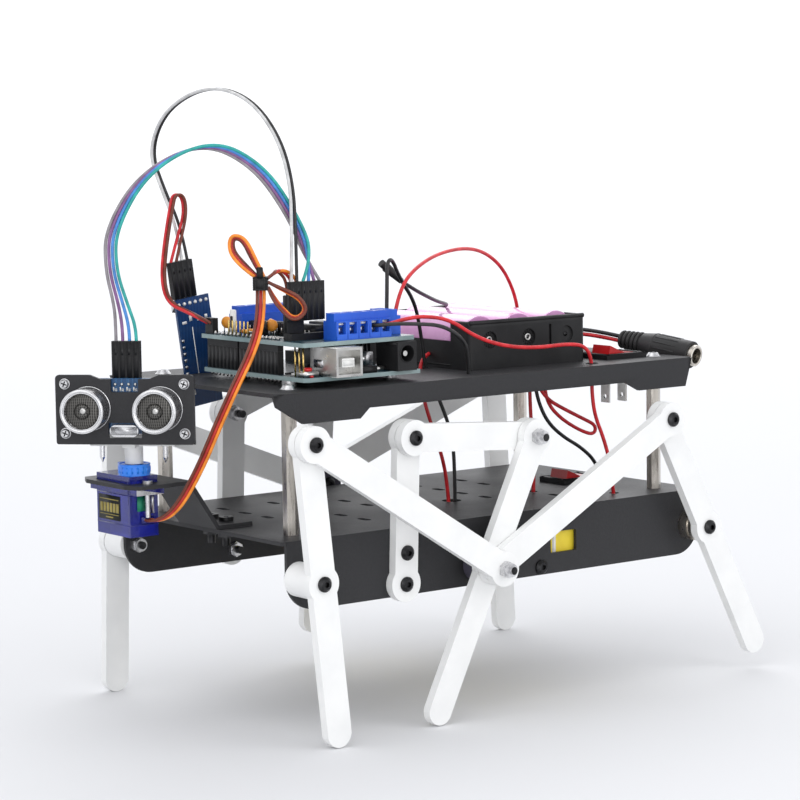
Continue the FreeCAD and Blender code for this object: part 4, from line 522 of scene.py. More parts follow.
for k in range(4):
    x = -3.81 + HEADER_PITCH * k
    plug_lines.box((x - 1.18, PLATE_Y + 1.72, 132.3), (2.36, 2.66, 14.5), "black", 0.25)
    plug_lines.box((x - 0.35, PLATE_Y + 1.62, 141.8), (0.7, 0.2, 2.4), "black_oxide", 0.05)
plug_lines.done("sensor_head", HEAD)

# ------------------------------------------------------------------ servo
servo = Piece("servo_details")
servo.box((-15.6, -137.72, 79.5), (15.0, 0.14, 9.2), "label", 0.05)
for k in range(6):
    servo.box((-14.4 + 2.2 * k, -137.8, 82.4), (1.7, 0.12, 3.4), "label_gold", 0.04)
servo.box((-14.6, -137.8, 87.0), (12.8, 0.12, 0.35), "label_gold", 0.04)
servo.box((-14.6, -137.8, 81.4), (12.8, 0.12, 0.25), "label_gold", 0.04)
servo.box((-10.6, -137.8, 80.2), (5.0, 0.12, 0.5), "label_gold", 0.04)
for z in (78.2, 89.4):
    servo.box((-16.95, -137.75, z), (23.1, 12.5, 0.35), "servo", 0.1)
for y in (-136.9, -126.1):
    servo.tube((5.0, y, 75.0), (0, 0, 1), 0.75, 20.6, "servo")
servo.tube((6.3, -128.0, 82.5), (0, 0, 1), 0.62, 8.6, "steel")
servo.tube((6.3, -128.0, 91.0), (0, 0, -1), 1.1, 1.0, "steel")
servo.box((6.02, -134.6, 83.6), (0.5, 3.6, 5.6), "green", 0.15)
servo.box((6.0, -133.2, 79.1), (1.2, 5.4, 2.6), "servo", 0.3)
for k in range(18):
    a = 2 * math.pi * k / 18
    servo.box((0.0, -0.35, 97.4), (6.05, 0.7, 2.4), "turret", 0.1,
              Matrix.Translation((0, HEAD_AXIS_Y, 0)) @ Matrix.Rotation(a, 4, "Z"))
servo.ring((0, HEAD_AXIS_Y, 100.6), (0, 0, 1), 5.75, 0.25, "turret")
servo.done("chassis")

# ------------------------------------------------------------------ boards
BX0, BX1, BY0 = -20.1, 48.5, -87.7
TOP, SHIELD = 132.4, 145.2


def solder_row(piece, x0, y, z, count, way=-1):
    for k in range(count):
        piece.tube((x0 + HEADER_PITCH * k, y, z), (0, 0, way), 0.75, 1.3, "tin", r2=0.28, segments=12,
                   bevel=0)


control = Piece("controller_parts")
for start, count, y in ((18.8, 10, 2.5), (45.2, 8, 2.5), (26.0, 8, 50.8), (50.3, 6, 50.8)):
    x0 = BX1 - start - count * HEADER_PITCH + 1.27
    solder_row(control, x0, BY0 + y, TOP - 1.6, count)
    solder_row(control, x0, BY0 + y, SHIELD - 1.6, count)
    solder_row(control, x0, BY0 + y, SHIELD, count, 1)
    for k in range(count):
        control.box((x0 + HEADER_PITCH * k - 1.22, BY0 + y - 1.3, TOP + 0.1), (2.44, 2.6, 8.4), "black", 0.12)
        control.tube((x0 + HEADER_PITCH * k, BY0 + y, SHIELD - 4.9), (0, 0, 1), 0.32, 4.6, "tin", segments=10,
                     bevel=0)
control.box((BX1 - 9.0, BY0 + 2.2, TOP), (6.2, 6.2, 2.0), "tin", 0.3)
control.tube((BX1 - 5.9, BY0 + 5.3, TOP + 2.0), (0, 0, 1), 1.7, 1.3, "red")
for x, y, w, d, h, key in ((-14, 3.6, 2.0, 1.2, 0.8, "print"), (-17.5, 3.2, 1.6, 3.0, 0.9, "black"),
                           (-11.5, 7.6, 2.4, 1.3, 1.0, "amber"), (-3.4, 24.4, 1.8, 3.2, 1.2, "black"),
                           (-6.8, 26.8, 6.4, 6.6, 2.4, "black"), (-7.4, 35.0, 3.4, 4.6, 1.7, "tin"),
                           (-15.0, 13.0, 3.4, 11.0, 3.6, "tin"), (-22.0, 30.0, 5.0, 5.0, 1.2, "black"),
                           (-2.2, 3.4, 1.6, 0.9, 0.8, "red"), (-1.9, 22.6, 1.3, 1.0, 0.7, "amber"),
                           (-30.0, 44.0, 5.6, 5.6, 5.2, "steel"), (-38.0, 26.0, 7.0, 7.0, 1.2, "black")):
    control.box((BX1 + x, BY0 + y, TOP), (w, d, h), key, 0.1)
for k in range(3):
    control.box((BX1 - 1.2 - 0.9, BY0 + 24.8 + 3.0 * k, TOP), (1.2, 1.6, 0.8), "tin", 0.08)
control.box((BX1 - 46.0, BY0 + 30.0, TOP), (30.0, 8.0, 7.9), "black", 0.4)
for k in range(3):
    control.tube((BX1 - 4.6 - HEADER_PITCH * k, BY0 + 2.5, TOP), (0, 0, 1), 0.32, 11.0, "gold", segments=10,
                 bevel=0)
control.ring((BX1 - 14.0, BY0 + 2.5, TOP + 0.05), (0, 0, 1), 2.2, 0.08, "tin")
control.done("chassis")

socket = Piece("usb_shell_details")
for z in (TOP - 0.02, TOP + 10.5):
    socket.box((BX1 - 10.1, BY0 + 9.5, z), (16.4, 12.2, 0.35), "tin", 0.12)
for y in (9.52, 21.3):
    socket.box((BX1 - 8.0, BY0 + y, TOP + 3.0), (6.0, 0.3, 3.2), "steel", 0.1)
socket.box((BX1 + 0.3, BY0 + 13.0, TOP + 3.9), (5.3, 5.2, 2.6), "print", 0.25)
socket.ring((BX1 + 2.25, BY0 + 45.5, TOP + 6.4), (1, 0, 0), 3.25, 0.22, "black")
socket.box((BX1 - 11.0, BY0 + 40.9, TOP + 9.2), (13.0, 9.2, 1.7), "black", 0.4)
socket.done("chassis")

shield = Piece("shield_parts")
for x, y in ((BX1 - 36.8, 15.2), (BX1 - 36.8, 28.6), (BX1 - 57.6, 15.2)):
    shield.box((x - 0.05, BY0 + y - 0.05, SHIELD + 1.25), (19.6, 6.5, 3.45), "black", 0.35)
    shield.ring((x + 0.5, BY0 + y + 3.2, SHIELD + 4.6), (0, 0, 1), 0.7, 0.12, "black", segments=16)
    for k in range(8):
        for edge in (-0.35, 6.65):
            shield.box((x + 0.9 + HEADER_PITCH * k, BY0 + y + edge - 0.15, SHIELD + 0.9), (0.7, 0.3, 2.1),
                       "tin", 0.05)
for x, y, turn in ((-12.6, 7.4, 20), (9.3, 12.6, -15), (12.6, 10.6, 35), (-12.5, 40.0, 80),
                   (14.0, 44.0, 40), (24.0, 45.0, 90)):
    spin = Matrix.Translation((x, BY0 + y, SHIELD + 4.2)) @ Matrix.Rotation(math.radians(turn), 4, "Z")
    shield.ball((0, 0, 0), (2.5, 1.15, 2.3), "amber", spin)
    for k in (-1.2, 1.2):
        shield.tube((k, 0, -4.2), (0, 0, 1), 0.27, 2.6, "tin", segments=8, bevel=0, turn=spin)
for x, y in ((-3.0, 8.0), (-3.0, 11.0), (-6.0, 45.5), (2.0, 47.0)):
    shield.tube((x, BY0 + y, SHIELD + 1.3), (1, 0, 0), 0.85, 4.6, "amber", segments=16, bevel=0.3)
    for k in range(3):
        shield.ring((x + 1.1 + 1.1 * k, BY0 + y, SHIELD + 1.3), (1, 0, 0), 0.8, 0.1,
                    ("red", "black", "gold")[k], segments=20)
    shield.tube((x - 1.8, BY0 + y, SHIELD + 1.3), (1, 0, 0), 0.25, 8.2, "tin", segments=8, bevel=0)
shield.box((-6.4, BY0 + 4.4, SHIELD), (3.0, 1.4, 9.6), "print", 0.3)
shield.box((-5.7, BY0 + 4.1, SHIELD + 2.6), (1.6, 0.6, 4.6), "black", 0.2)
for k in range(6):
    shield.tube((-4.0 + HEADER_PITCH * k, BY0 + 2.4, SHIELD), (0, 0, 1), 0.32, 5.8, "gold", segments=8,
                bevel=0)
shield.tube((10.6, BY0 + 7.0, SHIELD), (0, 0, 1), 2.6, 6.0, "black", bevel=0.4)
for k in range(10):
    shield.box((16.5 + 2.0 * (k % 5), BY0 + 3.6 + 3.0 * (k // 5), SHIELD), (1.0, 1.7, 0.6),
               ("tin", "print")[k % 2], 0.06)
shield.done("chassis")

blocks = Piece("terminal_screws")
for ways, x_low, y0, wide in ((5, 38.9, -72.1, 1), (5, -18.9, -74.7, -1)):
    for k in range(ways):
        y = y0 + TERMINAL_PITCH * (k + 0.5)
        centre = (x_low + 4.1, y, SHIELD + 8.0)
        blocks.tube(centre, (0, 0, 1), 1.75, 0.8, "tin")
        blocks.box((centre[0] - 1.5, y - 0.2, SHIELD + 8.7), (3.0, 0.4, 0.2), "black_oxide", 0.03)
        x_face = x_low + 8.2 if wide > 0 else x_low
        inside = x_face - 2.3 if wide > 0 else x_face + 1.7
        blocks.box((inside, y - 1.3, SHIELD + 2.5), (0.6, 2.6, 2.2), "tin", 0.08)
        blocks.box((inside + (0.5 if wide > 0 else -0.5), y - 1.5, SHIELD + 5.6), (0.6, 3.0, 0.9), "print",
                   0.08)
        seam = x_face - 0.02 if wide > 0 else x_face - 0.1
        blocks.box((seam - 0.1, y0 + TERMINAL_PITCH * k - 0.12, SHIELD + 0.4), (0.25, 0.24, 6.4), "terminal",
                   0.05)
for k in (0, 1):
    blocks.tube((31.05 + 5.1 * k, -40.0, SHIELD + 7.4), (0, 0, 1), 1.75, 0.8, "tin")
blocks.done("chassis")

# jumper plugs: one narrow housing for each wire
RADIO_LEAN = 8      # degrees
LEAN = (Matrix.Translation((0, -77.6, UPPER_DECK)) @ Matrix.Rotation(math.radians(RADIO_LEAN), 4, "X")
        @ Matrix.Translation((0, 77.6, -UPPER_DECK)))
plugs = Piece("plug_housings")
for k in range(6):
    plugs.box((32.95, -84.35 + HEADER_PITCH * k, 152.4), (2.6, 2.46, 14.5), "black", 0.28)
    plugs.box((35.5, -83.4 + HEADER_PITCH * k, 162.6), (0.1, 0.6, 2.4), "black_oxide", 0.03)
for k in range(3):
    plugs.box((30.35, -84.35 + HEADER_PITCH * k, 147.7), (2.5, 2.46, 14.2), "black", 0.28)
    plugs.box((30.5 + 0.8, -84.45 + HEADER_PITCH * k, 156.6), (0.7, 0.2, 2.4), "black_oxide", 0.03)
plugs.done("chassis")
radio = Piece("radio_parts")
for k in range(6):
    y = -85.4 + 1.45 + HEADER_PITCH * k
    radio.tube((-34.4, y, 156.4), (1, 0, 0), 0.85, 0.8, "print", r2=0.3, segments=14)
for k in range(4):
    y = -85.4 + 1.87 + HEADER_PITCH * k
    radio.box((-37.85, y - 1.2, 158.5), (2.7, 2.42, 14.55), "black", 0.28)
    radio.box((-35.2, y - 0.3, 168.6), (0.1, 0.6, 2.4), "black_oxide", 0.03)
for y, z, w, h in ((-83.6, 148.6, 2.0, 1.1), (-80.2, 149.4, 1.2, 2.2), (-76.6, 148.9, 2.4, 1.0),
                   (-73.0, 149.2, 1.2, 1.6),
                   (-83.2, 120.6, 1.2, 2.0), (-74.0, 121.4, 1.8, 1.0)):
    radio.box((-34.35, y, z), (0.35, w, h), "print", 0.05)
for k in range(7):
    radio.box((-34.33, -84.9, 126.0 + 2.6 * k), (0.12, 1.1, 1.2), "tin", 0.03)
    radio.box((-34.33, -71.6, 126.0 + 2.6 * k), (0.12, 1.1, 1.2), "tin", 0.03)
radio.box((-34.34, -79.4, 123.0), (0.12, 0.35, 24.0), "print", 0.03)
radio.done("chassis", LEAN)

# ------------------------------------------------------------------ battery holder
holder = Piece("holder_details")
X1, Y0, UP = 37.0, -0.8, UPPER_DECK
for k in range(3):
    y = Y0 + 10.1 + CELL_PITCH * k
    holder.ring((X1 - 0.75, y, UP + 11.5), (1, 0, 0), 3.3, 0.16, "black")
    if k < 2:
        holder.ring((X1 - 0.7, y, UP + 11.5), (1, 0, 0), 1.1, 0.42, "tin")
        for j in range(14):
            spin = Matrix.Translation((X1 - 0.62, y, UP + 11.5)) @ Matrix.Rotation(2 * math.pi * j / 14, 4,
                                                                                   "X")
            holder.box((-0.15, -0.14, 1.6), (0.3, 0.28, 1.4), "black", 0.06, spin)
    holder.tube((X1 - 0.8, y, UP + 11.5), (1, 0, 0), 0.95, 0.3, "black_oxide")
    for x, way in ((-36.9, 1), (33.9, -1)):
        for j in range(4):
            holder.ring((x + way * (0.2 + 0.35 * j), y, UP + 11.3), (1, 0, 0), 4.2 - 0.75 * j, 0.3, "tin",
                        segments=28)
holder.tube((X1 - 0.9, Y0 + 0.6, UP + 18.4), (0, 1, 0), 0.9, 58.4, "black", segments=16, bevel=0)
for y in (Y0 + 0.35, Y0 + 59.25):
    holder.box((-25.0, y - 0.5, UP + 1.0), (50.0, 1.0, 1.2), "black", 0.3)
for k in range(2):
    holder.box((-34.0, Y0 + 19.55 + CELL_PITCH * k, UP + 2.0), (68.0, 0.8, 3.4), "black", 0.25)
holder.done("chassis")
cells = Piece("cell_details")
for k in range(3):
    y = Y0 + 10.1 + CELL_PITCH * k
    cells.ring((-34.2, y, 139.6), (1, 0, 0), 8.95, 0.26, "wrap")
    cells.ring((29.6, y, 139.6), (1, 0, 0), 8.95, 0.26, "wrap")
    cells.ring((30.45, y, 139.6), (1, 0, 0), 4.2, 0.35, "print")
cells.done("chassis")

# ------------------------------------------------------------------ switches
for tag, x, y, deck in (("upper", 33.5, 77.0, UPPER_DECK), ("lower", 3.0, 80.5, LOWER_DECK)):
    trim = Piece(tag + "_switch_trim")
    for k in (-1, 1):
        trim.box((x - 8.0 if k < 0 else x + 5.6, y - 10.8, deck + 1.6), (2.4, 21.6, 0.6), "black", 0.28)
        trim.box((x - 8.0, y + k * 9.6 - 1.1, deck + 1.6), (16.0, 2.2, 0.6), "black", 0.28)
    trim.done("chassis")

# ------------------------------------------------------------------ socket on the battery lead
sleeve = Piece("jack_details")
for k in range(5):
    sleeve.ring(JACK_START + JACK_WAY * (0.95 + 2.1 * k), JACK_WAY, 3.35 + 0.22 * k, 0.5, "black_soft")
for k in range(14):
    a = 2 * math.pi * k / 14
    side = JACK_WAY.orthogonal().normalized()
    side = Matrix.Rotation(a, 3, JACK_WAY) @ side
    sleeve.tube(JACK_START + JACK_WAY * 18.0 + side * 5.45, JACK_WAY, 0.38, 11.0, "black_soft",
                segments=10, bevel=0.2)
sleeve.ring(JACK_START + JACK_WAY * 17.2, JACK_WAY, 5.35, 0.4, "black_soft")
sleeve.ring(JACK_START + JACK_WAY * 34.4, JACK_WAY, 5.0, 0.45, "black_soft")
sleeve.ring(JACK_START + JACK_WAY * 36.6, JACK_WAY, 3.8, 0.5, "nickel")
sleeve.done("chassis")

# cable tie: strap ribs, lock and tail
TIE = Vector((32.3, -95.5, 167.0))
SWING = Matrix.Rotation(math.radians(52.3), 3, "Z")
tie = Piece("tie_details")
spin = Matrix.Translation(TIE) @ SWING.to_4x4()
for k in range(6):
    tie.box((-2.8, -3.0, -2.2 + 0.8 * k), (5.6, 6.0, 0.36), "black", 0.12, spin)
tie.box((-2.0, -5.4, -2.2), (4.0, 2.6, 4.4), "black", 0.5, spin)
tie.box((-1.2, -5.0, 1.8), (2.4, 1.1, 4.4), "black", 0.25, spin)
tie.done("chassis")

# ------------------------------------------------------------------ hardware on the deck
trim = Piece("deck_trim")
for x in (-42, 42):
    for y in (-90.8, 90.8):
        trim.ring((x, y, 128.45), (0, 0, 1), 3.0, 0.14, "steel")
for x in (-5, 5):
    trim.ring((x, -94.5, 76.1), (0, 0, 1), 2.8, 0.16, "black_oxide")
trim.ring((47.5, 52.8, 128.35), (0, 0, 1), 2.3, 0.25, "black")
trim.done("chassis")
motors = Piece("motor_details")
for side in (-1, 1):
    x = 44.6 * side
    motors.box((x - 9.2, 22.9, 49.2), (18.4, 1.0, 22.6), "white_nylon", 0.25)
    motors.box((x - 9.5, 26.0, 53.0), (19.0, 1.6, 14.0), "print", 0.3)
    motors.ring((x, 56.9, 60.5), (0, 1, 0), 5.0, 0.5, "steel")
    for k in (-1, 1):
        motors.box((x + 3.6 * k - 0.9, 57.0, 59.0), (0.5, 2.0, 3.0), "gold", 0.08)
motors.done("chassis")


# ------------------------------------------------------------------ wires
def line_of(points, name):
    """The route as a smooth NURBS line, in metres."""
    data = bpy.data.curves.new(name, "CURVE")
    data.dimensions = "3D"
    data.resolution_u = 10
    spline = data.splines.new("NURBS")
    spline.points.add(len(points) - 1)
    for point, target in zip(spline.points, points):
        point.co = (*at(*target), 1)
    spline.order_u = 3
    spline.use_endpoint_u = True
    return data


def follow(data):
    """Points along a route's line."""
    thing = bpy.data.objects.new("line", data)
    bpy.context.scene.collection.objects.link(thing)
    bpy.context.view_layer.update()
    mesh = bpy.data.meshes.new_from_object(thing.evaluated_get(bpy.context.evaluated_depsgraph_get()))
    points = [v.co.copy() for v in mesh.vertices]
    bpy.data.objects.remove(thing)
    bpy.data.meshes.remove(mesh)
    return points


def wire(name, points, radius, key, node, across=None):
    """A wire along its route. One that crosses a joint becomes a plain mesh in world space, attached to no
    body.
    """
    data = line_of(points, name)
    path = follow(data)
    data.bevel_depth = radius / 1000.0
    data.bevel_resolution = 3
    data.use_fill_caps = True
    data.materials.append(M[key])
    thing = bpy.data.objects.new(name, data)
    bpy.context.scene.collection.objects.link(thing)
    if across:
        bpy.context.view_layer.update()
        mesh = bpy.data.meshes.new_from_object(thing.evaluated_get(bpy.context.evaluated_depsgraph_get()))
        mesh.shade_smooth()
        bpy.data.objects.remove(thing)
        thing = bpy.data.objects.new(name, mesh)
        bpy.context.scene.collection.objects.link(thing)
    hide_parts(node)
    if across:
        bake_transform(thing)
    else:
        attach(thing, "chassis")
    return thing


def side_by_side(points, spreads, count):
    for k in range(count):
        shift = k - (count - 1) / 2.0
        yield k, [tuple(Vector(p) + Vector(s) * shift) for p, s in zip(points, spreads)]


THIN, WIRE = 0.62, 0.75
head_turn = Matrix.Rotation(math.radians(HEAD_TURN), 3, "Z")
head_across = head_turn @ Vector((1, 0, 0))
PLUG_TOP = 146.9
ribbon_start = (head_turn @ Vector((0, PLATE_Y + 3.05 - HEAD_AXIS_Y, 0))
                + Vector((0, HEAD_AXIS_Y, PLUG_TOP)))
RIBBON = [tuple(ribbon_start), tuple(ribbon_start + Vector((0, 0, 5.0))), (4.3, -138.2, 160.0),
          (2.6, -141.2, 173.0),
          (2.5, -140.8, 188.0), (8.2, -129.1, 208.7), (18.2, -108.3, 219.6), (26.2, -91.2, 210.0),
          (31.6, -79.8, 191.0), (34.0, -75.0, 177.0), (34.25, -74.0, 167.0)]
near = tuple(head_across * 1.35)
raised = tuple(head_across * 1.35 + Vector((0, 0, 0.4)))
ribbon_steps = ([tuple(head_across * 2.54)] * 2 + [tuple(head_across * 1.7)] + [near] * 2 + [raised] * 2
                + [(0.7, 1.15, 0.2), (0.4, 1.3, 0), (1.9, 0.2, 0), (0, -2.54, 0)])
crossing = ("sensor_head", "chassis", at(5.1, -136.9, 150.0), at(16.0, -113.0, 214.0))
for k, route in side_by_side(RIBBON, ribbon_steps, 4):
    wire("ribbon_%d" % (k + 1), route, THIN, ("w_grey", "w_purple", "w_blue", "w_teal")[k],
         "sensor_wires", across=crossing)

lean = LEAN.to_3x3()
radio_top = LEAN @ Vector((-36.5, -78.1, 173.0))
radio_across = lean @ Vector((0, 1, 0))
plug_start = radio_top + radio_across * 0.95
LOOP = [tuple(plug_start), (-39.4, -83.6, 185.0), (-48.0, -84.9, 199.5), (-55.0, -86.2, 214.0),
        (-46.6, -85.2, 229.0), (-28.0, -83.5, 237.5), (-8.0, -82.3, 238.8), (11.0, -81.2, 232.5),
        (25.5, -80.4, 218.5), (32.4, -80.6, 202.0), (34.0, -81.4, 185.5), (34.25, -81.8, 167.0)]
loop_steps = [tuple(radio_across * 2.54), (0, 2.0, 0)] + [(0, 1.35, 0)] * 8 + [(0, 1.8, 0), (0, 2.54, 0)]
for k, route in side_by_side(LOOP, loop_steps, 2):
    wire("loop_%d" % (k + 1), route, THIN, ("w_white", "w_black")[k], "bluetooth_wires")
fold_start = radio_top - radio_across * 4.15
FOLD = [tuple(fold_start), (-36.8, -85.6, 180.5), (-37.1, -82.6, 188.6), (-37.2, -82.2, 194.2),
        (-37.3, -83.6, 197.9),
        (-37.4, -86.9, 197.9), (-37.5, -88.0, 193.8), (-37.6, -89.6, 186.6), (-37.8, -91.2, 178.0),
        (-37.8, -92.6, 167.9), (-36.8, -92.4, 160.2), (-33.5, -91.2, 155.6), (-27.0, -89.6, 153.6),
        (-20.6, -88.8, 151.8), (-16.45, -85.7, 149.2)]
fold_steps = ([tuple(radio_across * 2.54), (0.3, 1.8, 0)] + [(1.25, 0.5, 0)] * 9
              + [(0.9, 0.9, 0), (0.6, 1.2, 0), (1.3, 0.7, 0), (2.3, 0, 0)])
for k, route in side_by_side(FOLD, fold_steps, 2):
    wire("fold_%d" % (k + 1), route, THIN, ("w_red", "w_brown")[k], "bluetooth_wires")


def tied(x, z, depth=0.0):
    return tuple(TIE + SWING @ Vector((x, depth, z)))


LEAD = [(6.0, -130.6, 80.4), (11.0, -129.9, 79.6), (17.0, -124.5, 84.0), (24.0, -118.6, 99.5),
        (30.0, -114.9, 114.5),
        (34.0, -109.3, 129.3), (35.5, -101.7, 143.0), (34.8, -97.2, 155.0), tied(0, -2.5)]
across = tuple(SWING @ Vector((1.27, 0, 0)))
lead_steps = [(0, 1.27, 0), (0.3, 1.2, 0)] + [across] * 7
BEHIND = tuple(SWING @ Vector((0, 1.3, 0)))
TIE_LOOP = [tied(-1.6, 2.5), tied(-6.5, 6.8), tied(-10.6, 12.0), tied(-10.2, 17.4), tied(-5.8, 16.4),
            tied(-2.4, 9.0), tied(0.9, 2.5)]
TIE_DROP = [tied(2.7, 0.4), tied(8.6, -2.6), tied(14.4, -5.6), tied(16.8, -10.4), tied(12.2, -13.9),
            tied(7.6, -9.6), tied(4.4, -5.2), tied(2.7, -1.4)]
TIE_TAIL = [tied(2.7, 1.9), (34.4, -90.8, 170.6), (33.2, -88.0, 171.5), (32.0, -84.6, 170.6),
            (31.65, -81.0, 167.4),
            (31.65, -80.5, 161.8)]


def tie_steps(*steps):
    return [tuple(SWING @ Vector((x, depth, z))) for x, z, depth in steps]


loop_steps = tie_steps((0.5, 0, 1.17), (0.6, 0.6, 0.95), (0.85, 0.1, 0.95), (0.5, -0.7, 0.95),
                       (-0.5, -0.7, 0.95),
                       (-0.8, -0.3, 0.95), (-0.5, 0, 1.17))
drop_steps = tie_steps((0, 0, 1.25), (-0.2, -0.4, 1.2), (-0.25, -0.35, 1.2), (-0.45, 0, 1.2), (0, 0.45, 1.2),
                       (0.3, 0.3, 1.2), (0.3, 0.15, 1.2), (0, 0, 1.25))
tail_steps = [BEHIND, BEHIND, (-0.3, 1.6, 0), (0, 2.2, 0), (0, 2.4, 0), (0, 2.54, 0)]
for k, route in side_by_side(TIE_TAIL, tail_steps, 3):
    wire("tie_tail_%d" % (k + 1), route, THIN, ("w_brown", "w_dark_red", "w_orange")[k],
                      "servo_lead")
for k, route in side_by_side(LEAD, lead_steps, 3):
    wire("lead_%d" % (k + 1), route, THIN, ("w_brown", "w_dark_red", "w_orange")[k],
         "servo_lead")
for k, route in side_by_side(TIE_LOOP, loop_steps, 3):
    wire("tie_loop_%d" % (k + 1), route, THIN, ("w_orange", "w_dark_red", "w_brown")[k],
         "servo_lead")
for k, route in side_by_side(TIE_DROP, drop_steps, 3):
    wire("tie_drop_%d" % (k + 1), route, THIN, ("w_brown", "w_dark_red", "w_orange")[k],
         "servo_lead")

MOUTH_X, MOUTHS = 44.6, [-72.1 + TERMINAL_PITCH * (k + 0.5) for k in range(5)]
SINGLE = {
    "feed_red": ("w_red", "supply_wires", "wire_red",
                 [(MOUTH_X, MOUTHS[4], 149.8), (47.8, -48.9, 149.9), (50.4, -44.0, 151.6),
                  (49.6, -34.0, 152.4),
                  (48.8, -20.0, 150.2), (48.2, -7.0, 142.6), (47.8, 8.0, 138.0), (47.6, 24.0, 136.4),
                  (47.6, 40.0, 137.0), (47.6, 49.6, 135.6), (47.6, 52.8, 129.0), (47.4, 52.6, 118.0),
                  (46.6, 54.8, 107.5), (44.8, 61.0, 98.0), (43.2, 66.2, 86.5), (42.0, 69.0, 72.5)]),
    "feed_black": ("w_black", "supply_wires", "wire_red",
                   [(MOUTH_X, MOUTHS[3], 149.8), (47.6, -54.2, 149.8), (50.8, -49.8, 150.4),
                    (51.6, -39.0, 149.8),
                    (51.0, -25.0, 148.4), (49.0, -13.0, 142.0), (45.6, -8.6, 134.5), (44.8, -8.0, 128.3)]),
    "arc_red": ("w_red", "supply_wires", "wire_red",
                [(36.15, -36.6, 152.2), (36.0, -34.6, 160.0), (31.0, -24.5, 168.0), (20.3, -2.7, 173.8),
                 (6.8, 26.0, 174.5), (-3.5, 48.0, 167.0), (-9.5, 61.0, 154.0), (-11.5, 65.3, 141.0),
                 (-12.0, 66.0, 128.3)]),
    "splice_a": ("w_black", "supply_wires", "wire_red",
                 [(16.0, -17.7, 163.3), (13.8, -9.6, 159.4), (8.2, 1.8, 155.6), (0.0, 13.2, 152.8),
                  (-9.0, 24.0, 151.0),
                  (-18.5, 32.6, 149.6), (-27.5, 37.8, 147.9), (-37.0, 38.95, 147.0)]),
    "thin_black": ("w_black", "motor_wires", "wire_red",
                   [(31.05, -36.6, 152.2), (30.8, -36.0, 163.0), (30.4, -35.6, 171.6), (28.2, -31.6, 173.4),
                    (23.4, -24.2, 165.0), (17.6, -12.4, 155.0), (14.8, -7.4, 142.0), (14.4, -5.2, 128.0),
                    (14.6, 1.6, 115.5), (15.2, 7.4, 101.0), (15.0, 8.6, 86.0), (14.6, 8.8, 72.0)]),
    "short_red": ("w_red", "motor_wires", "wire_red",
                  [(11.5, -0.8, 133.6), (11.6, -3.8, 132.6), (12.2, -6.4, 127.6), (12.6, -5.4, 118.0),
                   (13.0, -1.6, 106.0), (13.0, 3.4, 94.0), (12.6, 6.4, 83.0), (12.2, 7.6, 72.5)]),
    "drop_black": ("w_black", "motor_wires", "wire_red",
                   [(19.4, 45.6, 128.3), (19.6, 46.4, 120.5), (19.9, 48.4, 111.0), (20.2, 53.0, 102.5),
                    (20.6, 61.0, 96.0), (20.8, 70.4, 91.0), (20.2, 79.6, 83.6), (19.0, 85.5, 72.5)]),
    "slack_red": ("w_red", "motor_wires", "wire_red",
                  [(23.4, 45.0, 128.3), (23.0, 44.8, 119.5), (22.8, 50.4, 112.4), (22.6, 60.4, 107.4),
                   (22.4, 70.0, 103.0), (22.2, 77.4, 99.6), (22.0, 76.2, 95.6), (22.0, 67.8, 98.6),
                   (22.0, 58.0, 104.2), (22.0, 51.4, 110.6), (22.2, 49.4, 119.0), (22.2, 48.9, 128.3)]),
    "down_red": ("w_red", "motor_wires", "wire_red",
                 [(17.4, 45.8, 128.3), (17.2, 46.0, 117.0), (16.6, 47.2, 102.0), (16.9, 48.4, 87.0),
                  (16.5, 48.0, 72.5)]),
}
for name, (key, node, slot_name, route) in SINGLE.items():
    wire(name, route, WIRE, key, node)
JACK_PAIR = [tuple(JACK_START), (2.4, 97.6, 134.8), (-7.6, 91.0, 136.0), (-14.6, 80.6, 136.4),
             (-17.4, 69.2, 136.2),
             (-17.5, 58.8, 136.0)]
for k, route in side_by_side(JACK_PAIR, [(0.2, 0, 1.9)] + [(0, 0, 1.9)] * 5, 2):
    wire("jack_wire_%d" % (k + 1), route, 0.85, ("w_red", "w_black")[k], "jack_wires")

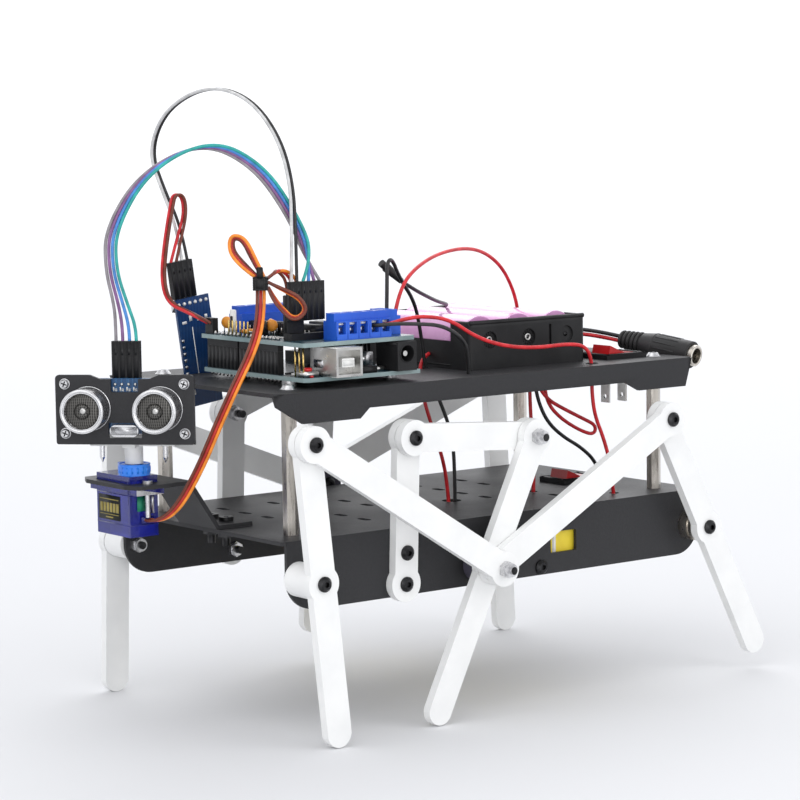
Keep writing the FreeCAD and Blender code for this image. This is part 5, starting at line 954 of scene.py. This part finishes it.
# ------------------------------------------------------------------ studio
def backdrop():
    """A pale floor that sweeps up into a wall behind the robot; the wall glows white as painted light, more
    strongly higher up.
    """
    profile = [(-1.6, 0.0), (0.9, 0.0)]
    profile += [(0.9 + 0.8 * math.sin(a), 0.8 - 0.8 * math.cos(a))
                for a in (math.pi / 2 * k / 16 for k in range(1, 17))]
    profile += [(1.7, 2.6)]
    level = Vector((forward.x, forward.y, 0)).normalized()
    points = [level * distance + right * side + Vector((0, 0, height))
              for distance, height in profile for side in (-2.6, 2.6)]
    faces = [(2 * k, 2 * k + 1, 2 * k + 3, 2 * k + 2) for k in range(len(profile) - 1)]
    data = bpy.data.meshes.new("backdrop")
    data.from_pydata([tuple(p) for p in points], [], faces)
    data.shade_smooth()
    thing = bpy.data.objects.new("backdrop", data)
    bpy.context.scene.collection.objects.link(thing)
    material, tree, bsdf = shader("backdrop", (0.70, 0.705, 0.72), 0.8, specular=0.1)
    split = tree.nodes.new("ShaderNodeSeparateXYZ")
    source = tree.nodes.new("ShaderNodeTexCoord")
    tree.links.new(source.outputs["Object"], split.inputs["Vector"])
    # Painted light: the backdrop glows, from none at floor level to strength 0.62 at 0.4 m up, so the wall
    # reads white.
    bsdf.inputs["Emission Color"].default_value = (1, 1, 1, 1)
    tree.links.new(remap(tree, split.outputs["Z"], -0.02, 0.4, 0.0, 0.62), bsdf.inputs["Emission Strength"])
    data.materials.append(material)


backdrop()
world = bpy.data.worlds.new("studio")
world.use_nodes = True
world.node_tree.nodes["Background"].inputs["Color"].default_value = (0.96, 0.97, 1.0, 1)
world.node_tree.nodes["Background"].inputs["Strength"].default_value = 0.85
bpy.context.scene.world = world


def soft_light(name, place, target, size, power, color=(1, 1, 1)):
    data = bpy.data.lights.new(name, "AREA")
    data.shape = "RECTANGLE"
    data.size, data.size_y = size
    data.energy = power
    data.color = color
    thing = bpy.data.objects.new(name, data)
    bpy.context.scene.collection.objects.link(thing)
    thing.location = place
    thing.rotation_euler = (Vector(target) - Vector(place)).to_track_quat("-Z", "Y").to_euler()


soft_light("key", (0.3, -0.9, 1.3), (0, 0, 0.1), (1.4, 1.4), 6.5)
soft_light("side", (1.2, 0.5, 0.8), (0, 0, 0.1), (1.0, 1.0), 4)
soft_light("back", (-1.0, 0.9, 1.2), (0, 0, 0.1), (1.4, 1.0), 7)
soft_light("fill", (1.15, -0.75, 0.3), (0, 0, 0.1), (1.0, 0.5), 3.5)
